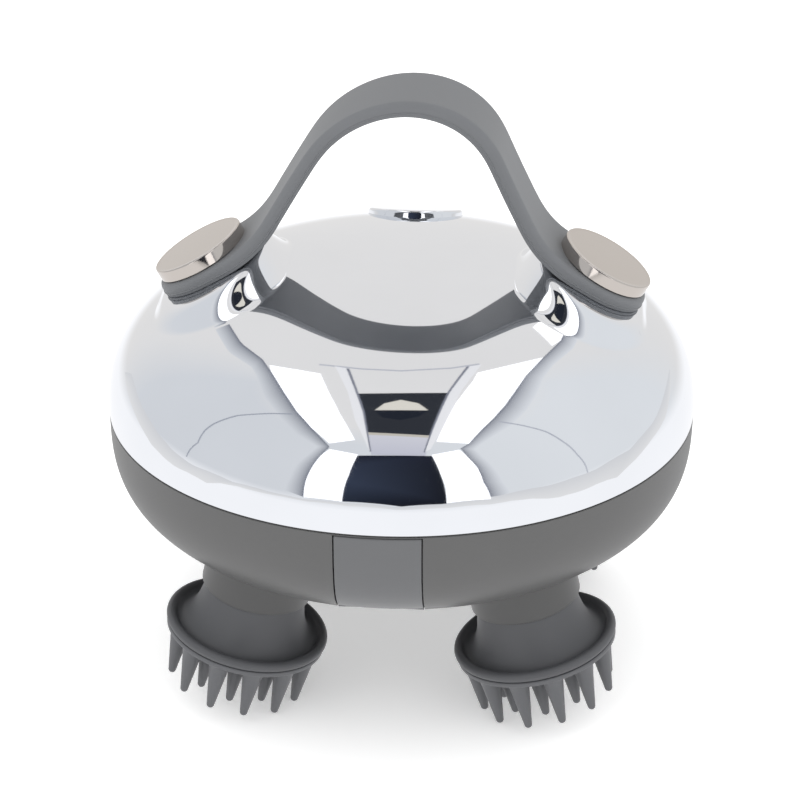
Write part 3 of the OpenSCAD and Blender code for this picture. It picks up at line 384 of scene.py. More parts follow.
ball_low = -math.degrees(math.acos(neck_radius / ball_radius))
ball_high = math.degrees(math.asin(2.6 / ball_radius))
neck_profile = np.concatenate([
    [[neck_inside, neck_edge]], arc(neck_radius - 0.25, neck_edge + 0.25, 0.25, -90, 0, 6),
    arc(0, 0, ball_radius, ball_low, ball_high, 28),
    [[neck_inside, 2.6], [neck_inside, -6.7], [5.2, -6.7], [5.2, 2], [2.55, 2], [2.55, -8.35],
     [neck_inside, -8.35]]])
dish_profile = np.concatenate([
    [[4.6, lip_height - lip_radius]], arc(lip_centre, lip_height, lip_radius, -85, 150, 26),
    bezier([[13.78, -17.93], [13.0, -19.2], [10.2, -18.0], [9.5, neck_edge]], 30)[1:],
    [[neck_inside, neck_edge], [neck_inside, -8.5], [6.4, -8.5], [4.6, neck_edge]]])
plate_profile = np.concatenate([
    [[0, plate_top]], arc(plate_radius - 0.3, plate_top - 0.3, 0.3, 90, 0, 6),
    arc(plate_radius - 0.3, plate_base + 0.3, 0.3, 0, -90, 6), [[0, plate_base]]])
root_level, tip_centre = plate_base - 0.45, tip_height + finger_tip
taper = np.column_stack([np.linspace(2.0, finger_tip, 7), np.linspace(root_level, tip_centre, 7)])[1:]
finger_profile = np.concatenate([
    [[0, plate_base + 0.2], [2.45, plate_base + 0.1], [2.25, plate_base - 0.1], [finger_root, root_level]],
    taper, arc(0, tip_centre, finger_tip, -15, -90, 6)])
finger_places = [(12.4, 15 + 30 * k) for k in range(12)] + [(8.3, 45 * k) for k in range(8)] + [(0, 0)]

neck_grey = moulding("neck_abs", tone(76, 76, 76), 0.42, 2400.0, 6e-6, drift=0.02, lint=0.02)
dish_grey = moulding("dish_soft_touch", tone(78, 79, 82), 0.5, 2400.0, 6e-6, drift=0.03, lint=0.01)
finger_grey = moulding("finger_silicone", tone(88, 89, 92), 0.46, 1600.0, 6e-6, drift=0.04)
for tag, side, depth in head_places:
    neck = piece("neck_collar_" + tag, [patch(leant(turned(neck_profile, 96), side, depth), loop=True)])
    dish = piece("dish_flange_" + tag, [patch(leant(turned(dish_profile, 120), side, depth), loop=True)])
    fingers = [turned(finger_profile, 18) + [r * math.cos(math.radians(a)), r * math.sin(math.radians(a)), 0]
               for r, a in finger_places]
    pad_grids = [turned(plate_profile, 96)] + fingers
    pad = piece("finger_plate_" + tag, [patch(leant(grid, side, depth)) for grid in pad_grids])
    for part, node, slot, finish in (
        (neck, "neck_", "casing_grey", neck_grey),
        (dish, "dish_", "dish_grey", dish_grey),
        (pad, "finger_pad_", "finger_silicone", finger_grey),
    ):
        part.data.materials.append(finish)
        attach(part, "head_" + tag)
        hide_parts(node + tag)

# ---- Charging socket and cover -------------------------------------------------------------------
# Plated socket shell on its small green board behind the recess. The cover is a curved grey panel,
# flush with the casing and hinged along its lower edge, with a soft bung that fills the socket.
dress(moulding("socket_steel", tone(196, 197, 200), 0.2, 4200.0, 2e-6, metal=1.0), "charging_socket")
board_green = moulding("board_green", tone(34, 104, 70), 0.35, 1400.0, 1.5e-5, coat=0.4)
dress(board_green, "charging_board")
cover_half, cover_thick, cover_head = 7.7, 1.4, -0.7
hinge_radius, bar_width = 0.5, 0.9


def cover_ring(height, inset):
    """Cross-section of the cover at one height: a rounded rectangle of half width cover_half and depth
    cover_thick, shrunk by inset, whose depth is measured inwards from the bowl's own outline. Below
    the hinge axis nothing reaches further in than the axis."""
    w, r = cover_half - inset, 0.16
    x = np.linspace(-w + r, w - r, 15)
    front = np.column_stack([x, np.full(15, inset)])
    rear = np.column_stack([x[::-1], np.full(15, cover_thick - inset)])
    bend = arc(w - r, inset + r, r, -90, 0, 5)[1:]
    heel = arc(w - r, cover_thick - inset - r, r, 0, 90, 5)[:-1]
    mirror = np.array([-1, 1])
    plan = np.concatenate([front, bend, heel, rear, heel[::-1] * mirror, bend[::-1] * mirror])
    y = plan[:, 1] - np.sqrt(bowl_radius(height) ** 2 - plan[:, 0] ** 2)
    y = np.minimum(y, hinge_y) if height < hinge_z else y
    return np.column_stack([plan[:, 0], y, np.full(len(plan), height + seam)])


heights = np.linspace(cover_head - 0.25, -floor_depth + 0.4, 40)
ends = [(cover_head, 0.69), (cover_head, 0.2), (cover_head - 0.06, 0.08), (cover_head - 0.15, 0.02)]
foot = [(-floor_depth + 0.15, 0.06), (-floor_depth + 0.05, 0.16), (-floor_depth, 0.3), (-floor_depth, 0.69)]
cover_rows = ends + [(z, 0.0) for z in heights] + foot
bung_half, bung_rise, bung_squareness = 3.5, 0.6, 0.4
bung_way = np.linspace(0, 2 * math.pi, 49)[:-1]
bung_plan = np.stack([np.cos(bung_way), np.sin(bung_way)], -1)
bung_ring = np.sign(bung_plan) * np.abs(bung_plan) ** bung_squareness * [bung_half, bung_rise]
bung_rows = [(-54.25, 0.0), (-54.25, 1.0), (-52.7, 1.0), (-52.5, 0.93), (-52.4, 0.8), (-52.4, 0.0)]
bung = np.stack([
    np.column_stack([k * bung_ring[:, 0], np.full(48, y), k * bung_ring[:, 1] + seam + socket_level])
    for y, k in bung_rows])
bar_line = np.concatenate([arc(hinge_y, hinge_z, hinge_radius, -90, 90, 13),
                           arc(hinge_y - bar_width, hinge_z, hinge_radius, 90, 270, 13)]) + [0, seam]
bar_rows = [np.column_stack([np.full(len(bar_line), x), bar_line]) for x in (-cover_half, cover_half)]
bar = np.stack([np.repeat(bar_rows[0].mean(0)[None], len(bar_line), 0), *bar_rows,
                np.repeat(bar_rows[1].mean(0)[None], len(bar_line), 0)])
cover_skin = np.stack([cover_ring(*row) for row in cover_rows])
cover = piece("cover_panel", [patch(cover_skin), patch(bung), patch(bar)], crease=40.0)
cover.data.materials.append(moulding("cover_abs", tone(95, 96, 98), 0.4, 2600.0, 6e-6, drift=0.02))
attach(cover, "charging_flap")
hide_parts("charging_cover")

# ---- Chrome dome ---------------------------------------------------------------------------------
# One-piece moulded dome, plated to a mirror. Its outline is a superellipse. It has a round hole at
# the back with a sleeve that guides the power button, and a step at the seam for the gasket.
dome_height_top, dome_power, dome_wall = 28.1, 2.46, 2.0
button_place, bore_radius, rim_round, sleeve_radius, sleeve_drop = 36.5, 9.7, 0.25, 11.6, 3.0
around = 512


def dome_level(r, radius=body_radius, height=dome_height_top):
    """Height of the dome above the seam at distance r from its middle: H (1 - (r / R)^n)^(1 / n)."""
    return height * np.maximum(1 - (np.minimum(r, radius) / radius) ** dome_power, 0) ** (1 / dome_power)


def dome_slope(r):
    """Slope of the dome at distance r, in radians: atan(H / R (r / R)^(n-1) / (1 - (r / R)^n)^(1 - 1/n))."""
    share = r / body_radius
    return math.atan(dome_height_top / body_radius * share ** (dome_power - 1)
                     / (1 - share**dome_power) ** (1 - 1 / dome_power))


def frame_at(x, y, slope):
    """Origin on the dome over (x, y) and three unit vectors: down the slope, level, and square to it."""
    r = math.hypot(x, y)
    out, level = np.array([x / r, y / r, 0]), np.array([-y / r, x / r, 0])
    rise_way = np.array([0, 0, 1.0])
    down = math.cos(slope) * out - math.sin(slope) * rise_way
    axis = math.sin(slope) * out + math.cos(slope) * rise_way
    return np.array([x, y, float(dome_level(r))]), down, level, axis


def to_dome(points, axis, radius=body_radius, height=dome_height_top):
    """Points moved along axis until they lie on the dome, found by halving an interval of 16 mm."""
    low, high = np.full(points.shape[:-1], -8.0), np.full(points.shape[:-1], 8.0)
    for _ in range(40):
        t = (low + high) / 2
        p = points + t[..., None] * axis
        outside = p[..., 2] > dome_level(np.hypot(p[..., 0], p[..., 1]), radius, height)
        low, high = np.where(outside, low, t), np.where(outside, t, high)
    return points + t[..., None] * axis


button_origin, button_down, button_level, button_axis = frame_at(0, button_place, dome_slope(button_place))
way = np.arange(around) * 2 * math.pi / around
seam_plan = np.stack([np.cos(way), np.sin(way)], -1)
look = np.arctan2(body_radius * seam_plan[:, 1] - button_place, body_radius * seam_plan[:, 0])
hole_ring = np.cos(look)[:, None] * -button_level + np.sin(look)[:, None] * button_down


def ruled(inner, radius, height, steps, power):
    """Rows of points on a dome from an inner ring to its own rim: the plan runs straight from ring to
    rim by the share 1 - (1 - s)^power, and the height is the dome's."""
    s = 1 - (1 - np.linspace(0, 1, steps)) ** power
    plan = inner[None, :, :2] * (1 - s)[:, None, None] + radius * seam_plan[None] * s[:, None, None]
    level = dome_level(np.hypot(plan[..., 0], plan[..., 1]), radius, height)
    return np.concatenate([plan, level[..., None]], -1)


rim_ring = to_dome(button_origin + (bore_radius + rim_round) * hole_ring, button_axis)
outer_skin = ruled(rim_ring, body_radius, dome_height_top, 160, 2.3)
step_rows = np.stack([np.column_stack([r * seam_plan, np.full(around, z)])
                      for r, z in ((54.6, 0.0), (54.6, 2.5), (53.95, 2.5))])
inner_radius, inner_height = body_radius - dome_wall, dome_height_top - dome_wall
sleeve_ring = to_dome(button_origin + sleeve_radius * hole_ring, button_axis, inner_radius, inner_height)
inner_skin = ruled(sleeve_ring, inner_radius, inner_height, 60, 2.3)[::-1][1:]
sleeve_rows = np.stack([button_origin + r * hole_ring - sleeve_drop * button_axis
                        for r in (sleeve_radius, bore_radius)])
fold = np.radians(np.arange(90, 0, -15))
rim_rows = np.stack([
    rim_ring - rim_round * math.sin(t) * hole_ring - rim_round * (1 - math.cos(t)) * button_axis
    for t in fold])
dome_grid = np.concatenate([outer_skin, step_rows, inner_skin, sleeve_rows, rim_rows]) + [0, 0, seam]
dome = piece("dome_shell", [patch(dome_grid, loop=True)], crease=50.0)
chrome = moulding("plated_chrome", tone(236, 238, 242), 0.035, 40.0, 1e-6, drift=0.01, metal=1.0)
dome.data.materials.append(chrome)
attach(dome, "housing")
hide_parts("top_cover")

# ---- Power button and control board --------------------------------------------------------------
# Plated round button that stands a little proud of the dome and is kept in by its flange. Under it,
# a rubber plunger presses a sealed switch on the green control board, screwed to two posts.


def placed(grid, origin, across_way, along_way, axis):
    """Points of a piece drawn about Z, carried into a frame: origin + x a + y b + z n."""
    x, y, z = grid[..., :1], grid[..., 1:2], grid[..., 2:]
    return origin + x * across_way + y * along_way + z * axis + [0, 0, seam]


face_rise = np.linspace(8.9, 0, 14)
button_profile = np.concatenate([
    [[0, -4.6], [2.5, -4.6], [2.5, -2.8], [8.1, -2.8], [8.1, -4.25], [10.9, -4.25], [10.9, -3.05],
     [9.5, -3.05]],
    arc(8.9, 0.1, 0.6, 0, 90, 9), np.column_stack([face_rise, 0.8 - 0.1 * (face_rise / 8.9) ** 2])[1:]])
button_grid = placed(turned(button_profile, 128), button_origin, -button_level, button_down, button_axis)
button = piece("button_cap", [patch(button_grid)], crease=40.0)
button_plating = moulding("button_chrome", tone(232, 234, 238), 0.05, 60.0, 1e-6, drift=0.01, metal=1.0)
button.data.materials.append(button_plating)
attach(button, "power_button")
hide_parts("power_button")
dress(rubber, "switch_plunger")
dress(moulding("switch_can", tone(190, 191, 194), 0.28, 3600.0, 3e-6, metal=1.0), "switch_body")
dress(board_green, "control_board")
dress(moulding("chip_epoxy", tone(38, 39, 42), 0.45, 2200.0, 8e-6), "board_chips")
dress(zinc, "board_screws", "casing_screws")

# ---- Finger strap --------------------------------------------------------------------------------
# Band of soft grey silicone, 18 mm wide, that arches over the dome from a round tongue at each end.
# Its upper edges are well rounded and a thin parting bead runs along both sides. Each tongue lies on a
# raised, plated seat of the dome, and a nickel-plated stud with a nut clamps it there.
strap_top, arch_radius, leg_slope, bend_radius = 61.3, 19.2, 62.0, 22.0
strap_half, strap_thick, tongue_radius, pad_thick = 9.0, 2.8, 9.9, 1.8
stud_place, stud_tilt = 35.3, math.radians(29.3)
edge_radius, apex_shift = 1.15, 2.0

stud_level = float(dome_level(stud_place))
stud_normal = np.array([math.sin(stud_tilt), math.cos(stud_tilt)])
stud_tangent = np.array([math.cos(stud_tilt), -math.sin(stud_tilt)])
tongue_middle = np.array([stud_place, stud_level]) + (pad_thick + strap_thick / 2) * stud_normal
slope = math.radians(leg_slope)
arch_middle = np.array([0, strap_top - arch_radius])
leg_start = arch_middle + arch_radius * np.array([math.sin(slope), math.cos(slope)])
leg_way = np.array([math.cos(slope), -math.sin(slope)])
gap = tongue_middle - leg_start
crossing = stud_tangent[1] * leg_way[0] - stud_tangent[0] * leg_way[1]
tongue_length = (gap[1] * leg_way[0] - gap[0] * leg_way[1]) / crossing
corner_cut = bend_radius * math.tan((slope - stud_tilt) / 2)
bend_middle = tongue_middle + (corner_cut - tongue_length) * stud_tangent + bend_radius * stud_normal
arch_way, bend_way = np.linspace(0, slope, 60), np.linspace(slope, stud_tilt, 40)
arch_line = arch_middle + arch_radius * np.stack([np.sin(arch_way), np.cos(arch_way)], -1)
bend_line = bend_middle - bend_radius * np.stack([np.sin(bend_way), np.cos(bend_way)], -1)
half_line = np.concatenate([arch_line, bend_line, [tongue_middle]])
whole_line = np.concatenate([half_line[:0:-1] * [-1, 1], half_line])
lengths = np.concatenate([[0], np.cumsum(np.linalg.norm(np.diff(whole_line, axis=0), axis=1))])
columns = 401
stations = np.linspace(0, lengths[-1], columns)
spine = np.stack([np.interp(stations, lengths, whole_line[:, k]) for k in (0, 1)], -1)
# Two passes of a running mean over 13 points take the kinks out of the line.
for _ in range(2):
    held = np.concatenate([2 * spine[0] - spine[1:7][::-1], spine, 2 * spine[-1] - spine[-7:-1][::-1]])
    spine = np.stack([np.convolve(held[:, k], np.ones(13) / 13, "valid") for k in (0, 1)], -1)
tangent = np.gradient(spine, axis=0)
tangent /= np.linalg.norm(tangent, axis=1)[:, None]
normal = np.stack([-tangent[:, 1], tangent[:, 0]], -1)
to_end = np.minimum(stations, stations[-1] - stations)
flare_length = 13.0
flare = np.clip(1 - to_end / flare_length, 0, 1)
half_width = strap_half + (tongue_radius - strap_half) * flare**2 * (3 - 2 * flare)
bead_level, bead_radius, foot_radius = -0.62, 0.15, 0.25
outward_side = [-1, 1]
edge = np.concatenate([
    arc(edge_radius, strap_thick / 2 - edge_radius, edge_radius, 90, 180, 9),
    [[0, -0.2], [0, bead_level + bead_radius]],
    arc(0, bead_level, bead_radius, 90, -90, 9) * outward_side, [[0, bead_level - bead_radius - 0.02]],
    arc(foot_radius, -strap_thick / 2 + foot_radius, foot_radius, 180, 270, 4)])
inward = np.linspace(0, 1, 8)[:-1]


def strap_spoke(middle, outward, over, reach):
    """One spoke of the strap's skin, from the middle line over the top, round the edge and back below:
    middle + (reach - u) outward + k over, for each pair (u, k) of the edge."""
    top = np.stack([np.outer(inward, reach - edge_radius), np.full((7, len(reach)), strap_thick / 2)], 0)
    rim = np.stack([reach[None] - edge[:, :1], np.repeat(edge[:, 1:], len(reach), 1)], 0)
    low = np.stack([np.outer(inward[::-1], reach - foot_radius), -top[1]], 0)
    u, k = np.concatenate([top, rim, low], 1)
    return middle[None] + u[..., None] * outward[None] + k[..., None] * over[None]


def in_space(flat):
    """Pairs (x, z) of the middle plane as points (x, 0, z)."""
    return np.stack([flat[:, 0], np.zeros(len(flat)), flat[:, 1]], -1)


level_way = np.array([0, 1.0, 0])
fan = np.radians(np.linspace(90, -90, 61))[1:-1]
spokes = []
run = (in_space(spine), in_space(normal))
spokes.append(strap_spoke(run[0], np.repeat(level_way[None], columns, 0), run[1], half_width))
for end in (-1, 0):
    way_out = in_space(tangent)[end] * (1 if end else -1)
    turn_way = 1 if end else -1
    outward = np.cos(fan)[:, None] * way_out + turn_way * np.sin(fan)[:, None] * level_way
    end_middle, end_over = (np.repeat(line[end][None], len(fan), 0) for line in run)
    spokes.append(strap_spoke(end_middle, outward, end_over, np.full(len(fan), tongue_radius)))
    if end:
        way_back = np.repeat(-level_way[None], columns, 0)
        spokes.append(strap_spoke(run[0][::-1], way_back, run[1][::-1], half_width[::-1]))
strap_grid = np.concatenate(spokes, 1) + [0, 0, seam]
lean_foot, lean_height = 32, 30
lean_share = np.clip((strap_grid[..., 2] - seam - lean_foot) / lean_height, 0, 1)
strap_grid[..., 0] += apex_shift * lean_share**2
strap = piece("strap_band", [patch(strap_grid)], crease=50.0)
strap.data.materials.append(moulding("strap_silicone", tone(106, 108, 111), 0.5, 1500.0, 5e-6, drift=0.025))
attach(strap, "housing")
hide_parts("finger_strap")

cap_radius, cap_height, stem_radius, stem_foot = 9.15, 2.6, 2.5, -10.0
cap_bevel, cap_crown, cap_recess, cap_lift = 0.3, 0.04, 0.45, 0.2
seat_radius, seat_skirt, edge_growth, skirt_growth, inner_growth, seat_sink = 10.2, 2.0, 3.0, 6.0, 1.6, 0.06
face = np.linspace(cap_radius - cap_bevel, 0, 12)
cap_foot = pad_thick + strap_thick
cap_head = cap_foot + cap_height
cap_profile = np.concatenate([
    [[0, stem_foot], [stem_radius, stem_foot], [stem_radius, cap_foot + 0.02],
     [cap_radius - cap_recess, cap_foot + 0.02], [cap_radius - cap_recess, cap_foot + cap_lift],
     [cap_radius - 0.06, cap_foot + cap_lift], [cap_radius, cap_foot + cap_lift + 0.06]],
    arc(cap_radius - cap_bevel, cap_head - cap_bevel, cap_bevel, 0, 90, 7)[:-1],
    np.column_stack([face, cap_head - cap_crown * (face / face[0]) ** 2])])


def seat_grid(origin, down, level, axis):
    """Raised seat of the dome: level with the strap's underside out to its edge, then down to the dome
    by the share t^2 (3 - 2 t) over its skirt. Both grow by sin^2 of the angle, towards front and back,
    and the edge grows by cos^2 on the side that faces up."""
    seat_way = np.arange(160) * 2 * math.pi / 160
    rays = np.cos(seat_way)[:, None] * down + np.sin(seat_way)[:, None] * level
    growth = np.sin(seat_way) ** 2
    edge_line = seat_radius + edge_growth * growth + inner_growth * np.maximum(-np.cos(seat_way), 0) ** 2
    skirt = seat_skirt + skirt_growth * growth
    t = np.linspace(0, 1, 37)[:, None]
    reach = edge_line + skirt * t
    on_plane = origin + reach[..., None] * rays
    on_dome = to_dome(on_plane, axis)
    share = (t**2 * (3 - 2 * t))[..., None]
    slope_rows = (on_plane + pad_thick * axis) * (1 - share) + on_dome * share
    flat_reach = np.linspace(0, 1, 5)[:-1, None] * edge_line
    flat_rows = origin + flat_reach[..., None] * rays + pad_thick * axis
    under = origin + (reach[-1] * np.linspace(1, 0, 9)[:, None])[..., None] * rays
    return np.concatenate([flat_rows, slope_rows, to_dome(under, axis) - seat_sink * axis])


seats, caps = [], []
for side in (-1, 1):
    stud_frame = frame_at(side * stud_place, 0, stud_tilt)
    seats.append(patch(seat_grid(*stud_frame) + [0, 0, seam]))
    caps.append(patch(placed(turned(cap_profile, 128), *stud_frame)))
strap_seats = piece("strap_seats", seats, crease=50.0)
strap_seats.data.materials.append(chrome)
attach(strap_seats, "housing")
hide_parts("strap_wedges")
studs = piece("stud_discs", caps, crease=35.0)
nickel = moulding("plated_nickel", tone(201, 194, 188), 0.1, 3000.0, 1.5e-6, drift=0.01, metal=1.0)
studs.data.materials.append(nickel)
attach(studs, "housing")
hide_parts("stud_caps")
dress(zinc, "stud_nuts")

# ---- Studio --------------------------------------------------------------------------------------
# Faintly lit white table and even light in a large tent of pale cloth. Polished metal shows what stands
# round it:
# tall lit windows in front of pale walls, a dark opening between them, seams, and a hole at the top, with
# painted shade on the cloth along the window edges. The tent is seen by gloss alone, so that it doesn't
# shade the table.
turn = math.radians(4.31)
spin = Matrix.Rotation(turn, 3, "Z")
tent_light = bpy.data.materials.new("tent_light")
tent_light.use_nodes = True
tent_tree = tent_light.node_tree
tent_tree.nodes.clear()
glow_node = tent_tree.nodes.new("ShaderNodeAttribute")
glow_node.attribute_name = "glow"
lamp = tent_tree.nodes.new("ShaderNodeEmission")
tent_out = tent_tree.nodes.new("ShaderNodeOutputMaterial")
tent_tree.links.new(glow_node.outputs["Color"], lamp.inputs["Color"])
tent_tree.links.new(lamp.outputs["Emission"], tent_out.inputs["Surface"])
tent_light.cycles.emission_sampling = "NONE"


def seen(red, green, blue):
    """Light that the plated dome shows as this sRGB colour: its linear value over the metal's own."""
    return np.array(tone(red, green, blue)[:3]) / [0.84, 0.855, 0.89]


def flat(directions):
    """Directions (azimuth from the front, elevation), in degrees, drawn on a plane round the zenith:
    x = (90 - e) sin a, y = -(90 - e) cos a."""
    a, e = np.radians(np.asarray(directions, float)[..., 0]), np.asarray(directions, float)[..., 1]
    return np.stack([(90 - e) * np.sin(a), -(90 - e) * np.cos(a)], -1)


def hang(name, drawn, glow, faces, radius):
    """Cloth of the tent from points drawn on that plane, carried back to a sphere round the object."""
    away = np.radians(np.hypot(*drawn.T))
    a = np.arctan2(drawn[:, 0], -drawn[:, 1])
    ways = np.stack([np.sin(a) * np.sin(away), -np.cos(a) * np.sin(away), np.cos(away)], -1)
    mesh = bpy.data.meshes.new(name)
    mesh.from_pydata((radius * ways @ np.array(spin).T + [0, 0, seam * MM]).tolist(), [], faces.tolist())
    layer = mesh.color_attributes.new("glow", "FLOAT_COLOR", "POINT")
    layer.data.foreach_set("color", np.column_stack([glow, np.ones(len(glow))]).ravel())
    mesh.materials.append(tent_light)
    cloth = bpy.data.objects.new(name, mesh)
    bpy.context.scene.collection.objects.link(cloth)
    cloth.visible_camera = cloth.visible_diffuse = cloth.visible_shadow = False
    cloth.visible_transmission = cloth.visible_volume_scatter = False


def card(name, outline, glow, radius):
    """Piece of cloth within an outline of directions. Its triangles are cut in four three times, and
    glow is one colour or one for each corner."""
    glow = np.broadcast_to(np.asarray(glow, float), (len(outline), 3))
    drawn = flat(outline)
    corners = np.array(tessellate_polygon([[Vector((x, y, 0)) for x, y in drawn]]))
    parts = np.concatenate([drawn, glow], 1)[corners]
    for _ in range(3):
        a, b, c = parts[:, 0], parts[:, 1], parts[:, 2]
        ab, bc, ca = (a + b) / 2, (b + c) / 2, (c + a) / 2
        quarters = ((a, ab, ca), (ab, b, bc), (ca, bc, c), (ab, bc, ca))
        parts = np.concatenate([np.stack(corner, 1) for corner in quarters])
    parts = parts.reshape(-1, 5)
    hang(name, parts[:, :2], parts[:, 2:], np.arange(len(parts)).reshape(-1, 3), radius)


def band(name, near, far, near_glow, far_glow, radius, power=1.0):
    """Cloth between two lines of directions. Its glow runs from one to the other as t to the power."""
    t = np.linspace(0, 1, 61)
    near, far = (
        np.stack([np.interp(t * (len(line) - 1), np.arange(len(line)), line[:, k]) for k in (0, 1)], -1)
        for line in (flat(near), flat(far)))
    s = np.linspace(0, 1, 9)[:, None, None]
    drawn = near * (1 - s) + far * s
    near_glow, far_glow = np.asarray(near_glow, float), np.asarray(far_glow, float)
    glow = np.broadcast_to(near_glow * (1 - s**power) + far_glow * s**power, (9, 61, 3))
    index = np.arange(9 * 61).reshape(9, 61)
    quads = np.stack([index[:-1, :-1], index[:-1, 1:], index[1:, 1:], index[1:, :-1]], -1).reshape(-1, 4)
    hang(name, drawn.reshape(-1, 2), glow.reshape(-1, 3), quads, radius)


def line_of(name, middle, width, glow, radius):
    """Band of one width, in degrees, along a line of directions."""
    drawn = flat(middle)
    along = np.gradient(drawn, axis=0)
    aside = np.stack([-along[:, 1], along[:, 0]], -1) / np.linalg.norm(along, axis=1)[:, None] * width / 2
    edges = [np.stack([np.degrees(np.arctan2(q[:, 0], -q[:, 1])), 90 - np.hypot(*q.T)], -1)
             for q in (drawn - aside, drawn + aside)]
    band(name, edges[0], edges[1], glow, glow, radius)


azimuth, elevation = np.meshgrid(np.radians(np.arange(0, 360, 5)), np.arange(-90, 90.1, 2.5), indexing="ij")
side_share = (1 + np.sin(azimuth)) / 2
walls = seen(205, 209, 216) * (1 - side_share[..., None]) + seen(216, 220, 226) * side_share[..., None]
back_share = np.clip((-np.cos(azimuth) - 0.5) / 0.3, 0, 1)[..., None]
walls = walls * (1 - back_share) + seen(219, 219, 221) * back_share
top_share = np.clip((elevation - 55) / 15, 0, 1)[..., None]
low_share = np.clip((-3 - elevation) / 9, 0, 1)[..., None]
tent_glow = walls * (1 - top_share) + seen(219, 219, 221) * top_share
tent_glow = tent_glow * (1 - low_share) + np.array([1.05, 1.05, 1.06]) * low_share
rows_count, columns_count = azimuth.shape
index = np.arange(azimuth.size).reshape(azimuth.shape)
index = np.concatenate([index, index[:1]])
tent_quads = np.stack([index[:-1, :-1], index[1:, :-1], index[1:, 1:], index[:-1, 1:]], -1).reshape(-1, 4)
tent_drawn = flat(np.stack([np.degrees(azimuth), elevation], -1)).reshape(-1, 2)
wall_reach, front_reach, opening_reach, corner_reach = 1.8, 1.58, 1.56, 1.55
seam_reach, hole_reach, window_reach = 1.54, 1.53, 1.50
hang("tent_walls", tent_drawn, tent_glow.reshape(-1, 3), tent_quads, wall_reach)

window = np.array([1.6, 1.6, 1.62])
windows = [
    [(-138, 55), (-145, 65), (-143, 66), (-125, 72), (-68, 74), (-27, 59), (-37, 52), (-57, 60), (-82, 64),
     (-112, 63), (-133, 57)],
    [(142, 51), (148, 65), (141, 69), (99, 78), (20, 59), (35, 53), (50, 61), (70, 65), (93, 66), (114, 64),
     (131, 59)],
    [(-34, 47), (-20, 46), (-20, 25), (-21, -4), (-35, -5), (-35, 15), (-35, 30), (-35, 40)],
    [(14, 47), (28, 49), (29, 40), (30, 29), (30, 13), (32, -5), (16, -4), (16, 12), (15, 27)],
    [(-165, 19), (-162, 27), (-160, 34), (-155, 35), (-159, 28), (-162, 22)],
    [(147, 46), (158, 42), (159, 38), (161, 30), (163, 25), (158, 30), (153, 37), (148, 43)],
]
for number, outline in enumerate(windows):
    card(f"tent_window_{number}", outline, window, window_reach)
flap = [(-133, 78), (133, 77), (102, 81), (19, 65), (-24, 67), (-63, 80)]
card("tent_flap", flap, seen(47, 50, 57), opening_reach)
hole = [(61, 83), (27, 81), (-1, 79), (-28, 80), (-61, 83), (-112, 86), (-178, 86), (114, 86)]
card("tent_hole_front", hole[:5], seen(34, 38, 48), hole_reach)
card("tent_hole_back", hole[4:] + hole[:1], seen(214, 211, 204), hole_reach)
card("tent_front_band", [(-25, 67), (20, 66), (11, 46), (-14, 47)],
     [seen(203, 204, 214)] * 2 + [seen(188, 190, 204)] * 2, front_reach)
card("tent_cream_strip", [(-24, 67), (19, 65), (18, 63), (-22, 65)], seen(190, 186, 178), seam_reach)
card("tent_opening", [(-20, 45), (14, 46), (15, 27), (16, -5), (0, -6), (-21, -4), (-21, 16), (-21, 33)],
     [seen(32, 35, 47), seen(32, 35, 47), seen(30, 33, 42), seen(26, 28, 36), seen(26, 28, 36),
      seen(36, 42, 56), seen(52, 60, 78), seen(48, 55, 72)], opening_reach)
rail_left = [(-156, 63), (-159, 65), (-137, 77), (-62, 80), (-15, 50), (-16, 51), (-47, 74), (-130, 76)]
rail_right = [(153, 61), (156, 63), (134, 77), (62, 80), (11, 50), (15, 53), (39, 72), (132, 74)]
for side_name, rail in (("left", rail_left), ("right", rail_right)):
    card("tent_rail_" + side_name, rail, seen(228, 229, 234), seam_reach)
    line_of("tent_rail_line_" + side_name, rail[1:5], 0.5, seen(120, 124, 138), hole_reach)
seam_left = [(-79, 62), (-83, 56), (-86, 44), (-85, 31), (-84, 23), (-82, 11), (-85, -5)]
seam_right = [(67, 62), (69, 54), (70, 43), (69, 30), (69, 14), (71, -6)]
line_of("tent_seam_left", seam_left, 0.8, seen(150, 155, 168), seam_reach)
line_of("tent_seam_right", seam_right, 0.8, seen(170, 174, 186), seam_reach)
back_fold = [(-152, 61), (-164, 66), (180, 68), (161, 65), (154, 61)]
line_of("tent_seam_back", back_fold, 0.7, seen(180, 183, 194), seam_reach)
ledge_in = [(-137, -5), (-131, 2), (-117, 1), (-102, -3), (-92, -7), (-82, -9), (-63, -8), (-47, -7),
            (-35, -7), (-21, -5), (0, -7), (16, -5), (35, -3), (56, -5), (73, -6), (92, -5), (109, -1),
            (123, 4), (133, 4)]
ledge_out = [(-137, -5), (-127, -6), (-116, -9), (-106, -14), (-98, -16), (-92, -17), (-76, -17),
             (-51, -10), (-35, -9), (-19, -8), (0, -10), (16, -9), (32, -10), (57, -17), (69, -18),
             (87, -19), (98, -14), (115, -8), (133, 3)]
band("tent_ledge", ledge_in, ledge_out, seen(206, 208, 213), seen(220, 221, 224), seam_reach)
# Painted shade: dark bands along the window edges whose glow fades into the wall colour, standing in for the
# shade in the tent's corners beside the windows.
corner_left = [(-152, 36), (-146, 44), (-141, 52), (-133, 57), (-112, 63), (-82, 64), (-57, 60), (-35, 49),
               (-35, 40), (-35, 30), (-35, 15), (-35, -5)]
shade_left = [(-148, 35), (-139, 44), (-133, 52), (-126, 55), (-103, 58), (-76, 57), (-56, 52), (-40, 47),
              (-40, 39), (-41, 27), (-41, 11), (-42, -2)]
corner_right = [(153, 37), (148, 43), (142, 51), (132, 59), (114, 64), (93, 66), (70, 65), (35, 53),
                (29, 50), (29, 40), (30, 29), (30, 13), (32, -5)]
shade_right = [(149, 36), (142, 43), (135, 51), (125, 56), (105, 59), (87, 59), (67, 57), (39, 50),
               (35, 47), (35, 39), (36, 27), (37, 10), (39, -2)]
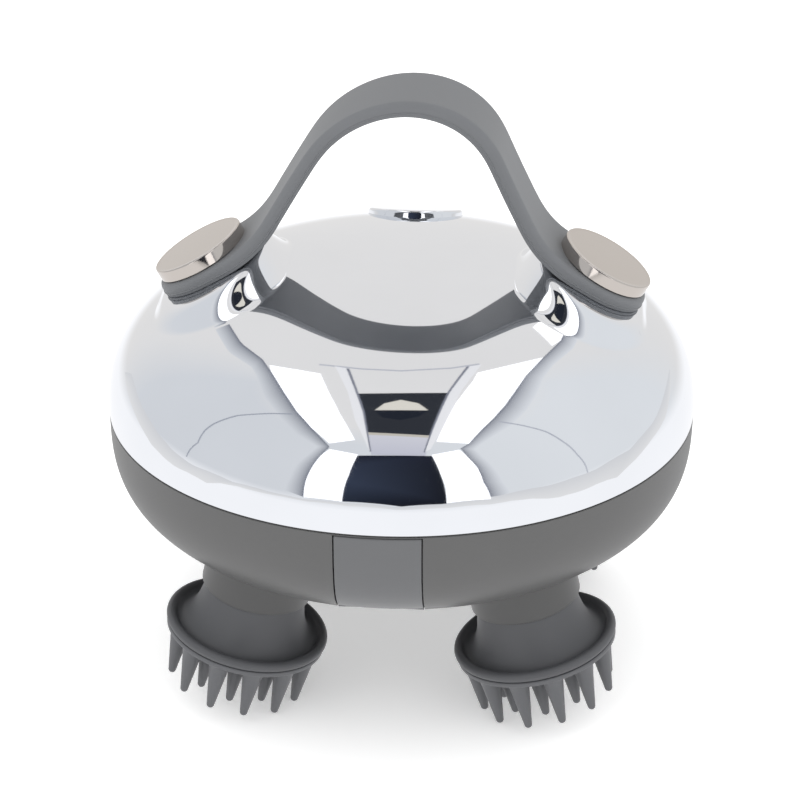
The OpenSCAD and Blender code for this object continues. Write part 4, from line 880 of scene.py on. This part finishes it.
corner_shade_fade = 0.55
band("tent_corner_shade_left", corner_left, shade_left, seen(96, 101, 116), seen(205, 209, 216), corner_reach,
     power=corner_shade_fade)
band("tent_corner_shade_right", corner_right, shade_right, seen(104, 108, 122), seen(213, 217, 224), corner_reach,
     power=corner_shade_fade)

table_mesh = bpy.data.meshes.new("table_top")
half = 3.0
table_corners = [(half * x, half * y, 0) for x, y in ((-1, -1), (1, -1), (1, 1), (-1, 1))]
table_mesh.from_pydata(table_corners, [], [(0, 1, 2, 3)])
table = bpy.data.objects.new("table_top", table_mesh)
bpy.context.scene.collection.objects.link(table)
table.visible_glossy = False
white = bpy.data.materials.new("table_white")
white.use_nodes = True
for socket_name, value in (
    ("Base Color", (0.96, 0.96, 0.96, 1)),
    ("Roughness", 0.9),
    ("Specular IOR Level", 0.1),
    ("Emission Color", (1, 1, 1, 1)),
    ("Emission Strength", 0.3),
):
    white.node_tree.nodes["Principled BSDF"].inputs[socket_name].default_value = value
table_mesh.materials.append(white)

world = bpy.data.worlds.new("studio_air")
world.use_nodes = True
world.node_tree.nodes["Background"].inputs["Color"].default_value = (1, 1, 1, 1)
world.node_tree.nodes["Background"].inputs["Strength"].default_value = 1.3
bpy.context.scene.world = world

rise, roll, distance = math.radians(25.91), math.radians(0.16), 498.7
back = Vector((0, -math.cos(rise), math.sin(rise)))
right, up = Vector((1, 0, 0)), Vector((0, math.sin(rise), math.cos(rise)))
across = math.cos(roll) * right + math.sin(roll) * up
upward = -math.sin(roll) * right + math.cos(roll) * up
eye = spin @ (Vector((-0.305, 0, -0.895)) + distance * back) + Vector((0, 0, seam))
lens = bpy.data.cameras.new("camera")
lens.lens, lens.sensor_width, lens.clip_start, lens.clip_end = 116.29, 36.0, 0.01, 20.0
camera = bpy.data.objects.new("camera", lens)
bpy.context.scene.collection.objects.link(camera)
camera.matrix_world = Matrix.Translation(eye * MM) @ Matrix(
    [spin @ across, spin @ upward, spin @ back]
).transposed().to_4x4()
bpy.context.scene.camera = camera
bpy.context.scene.view_settings.view_transform = "Standard"
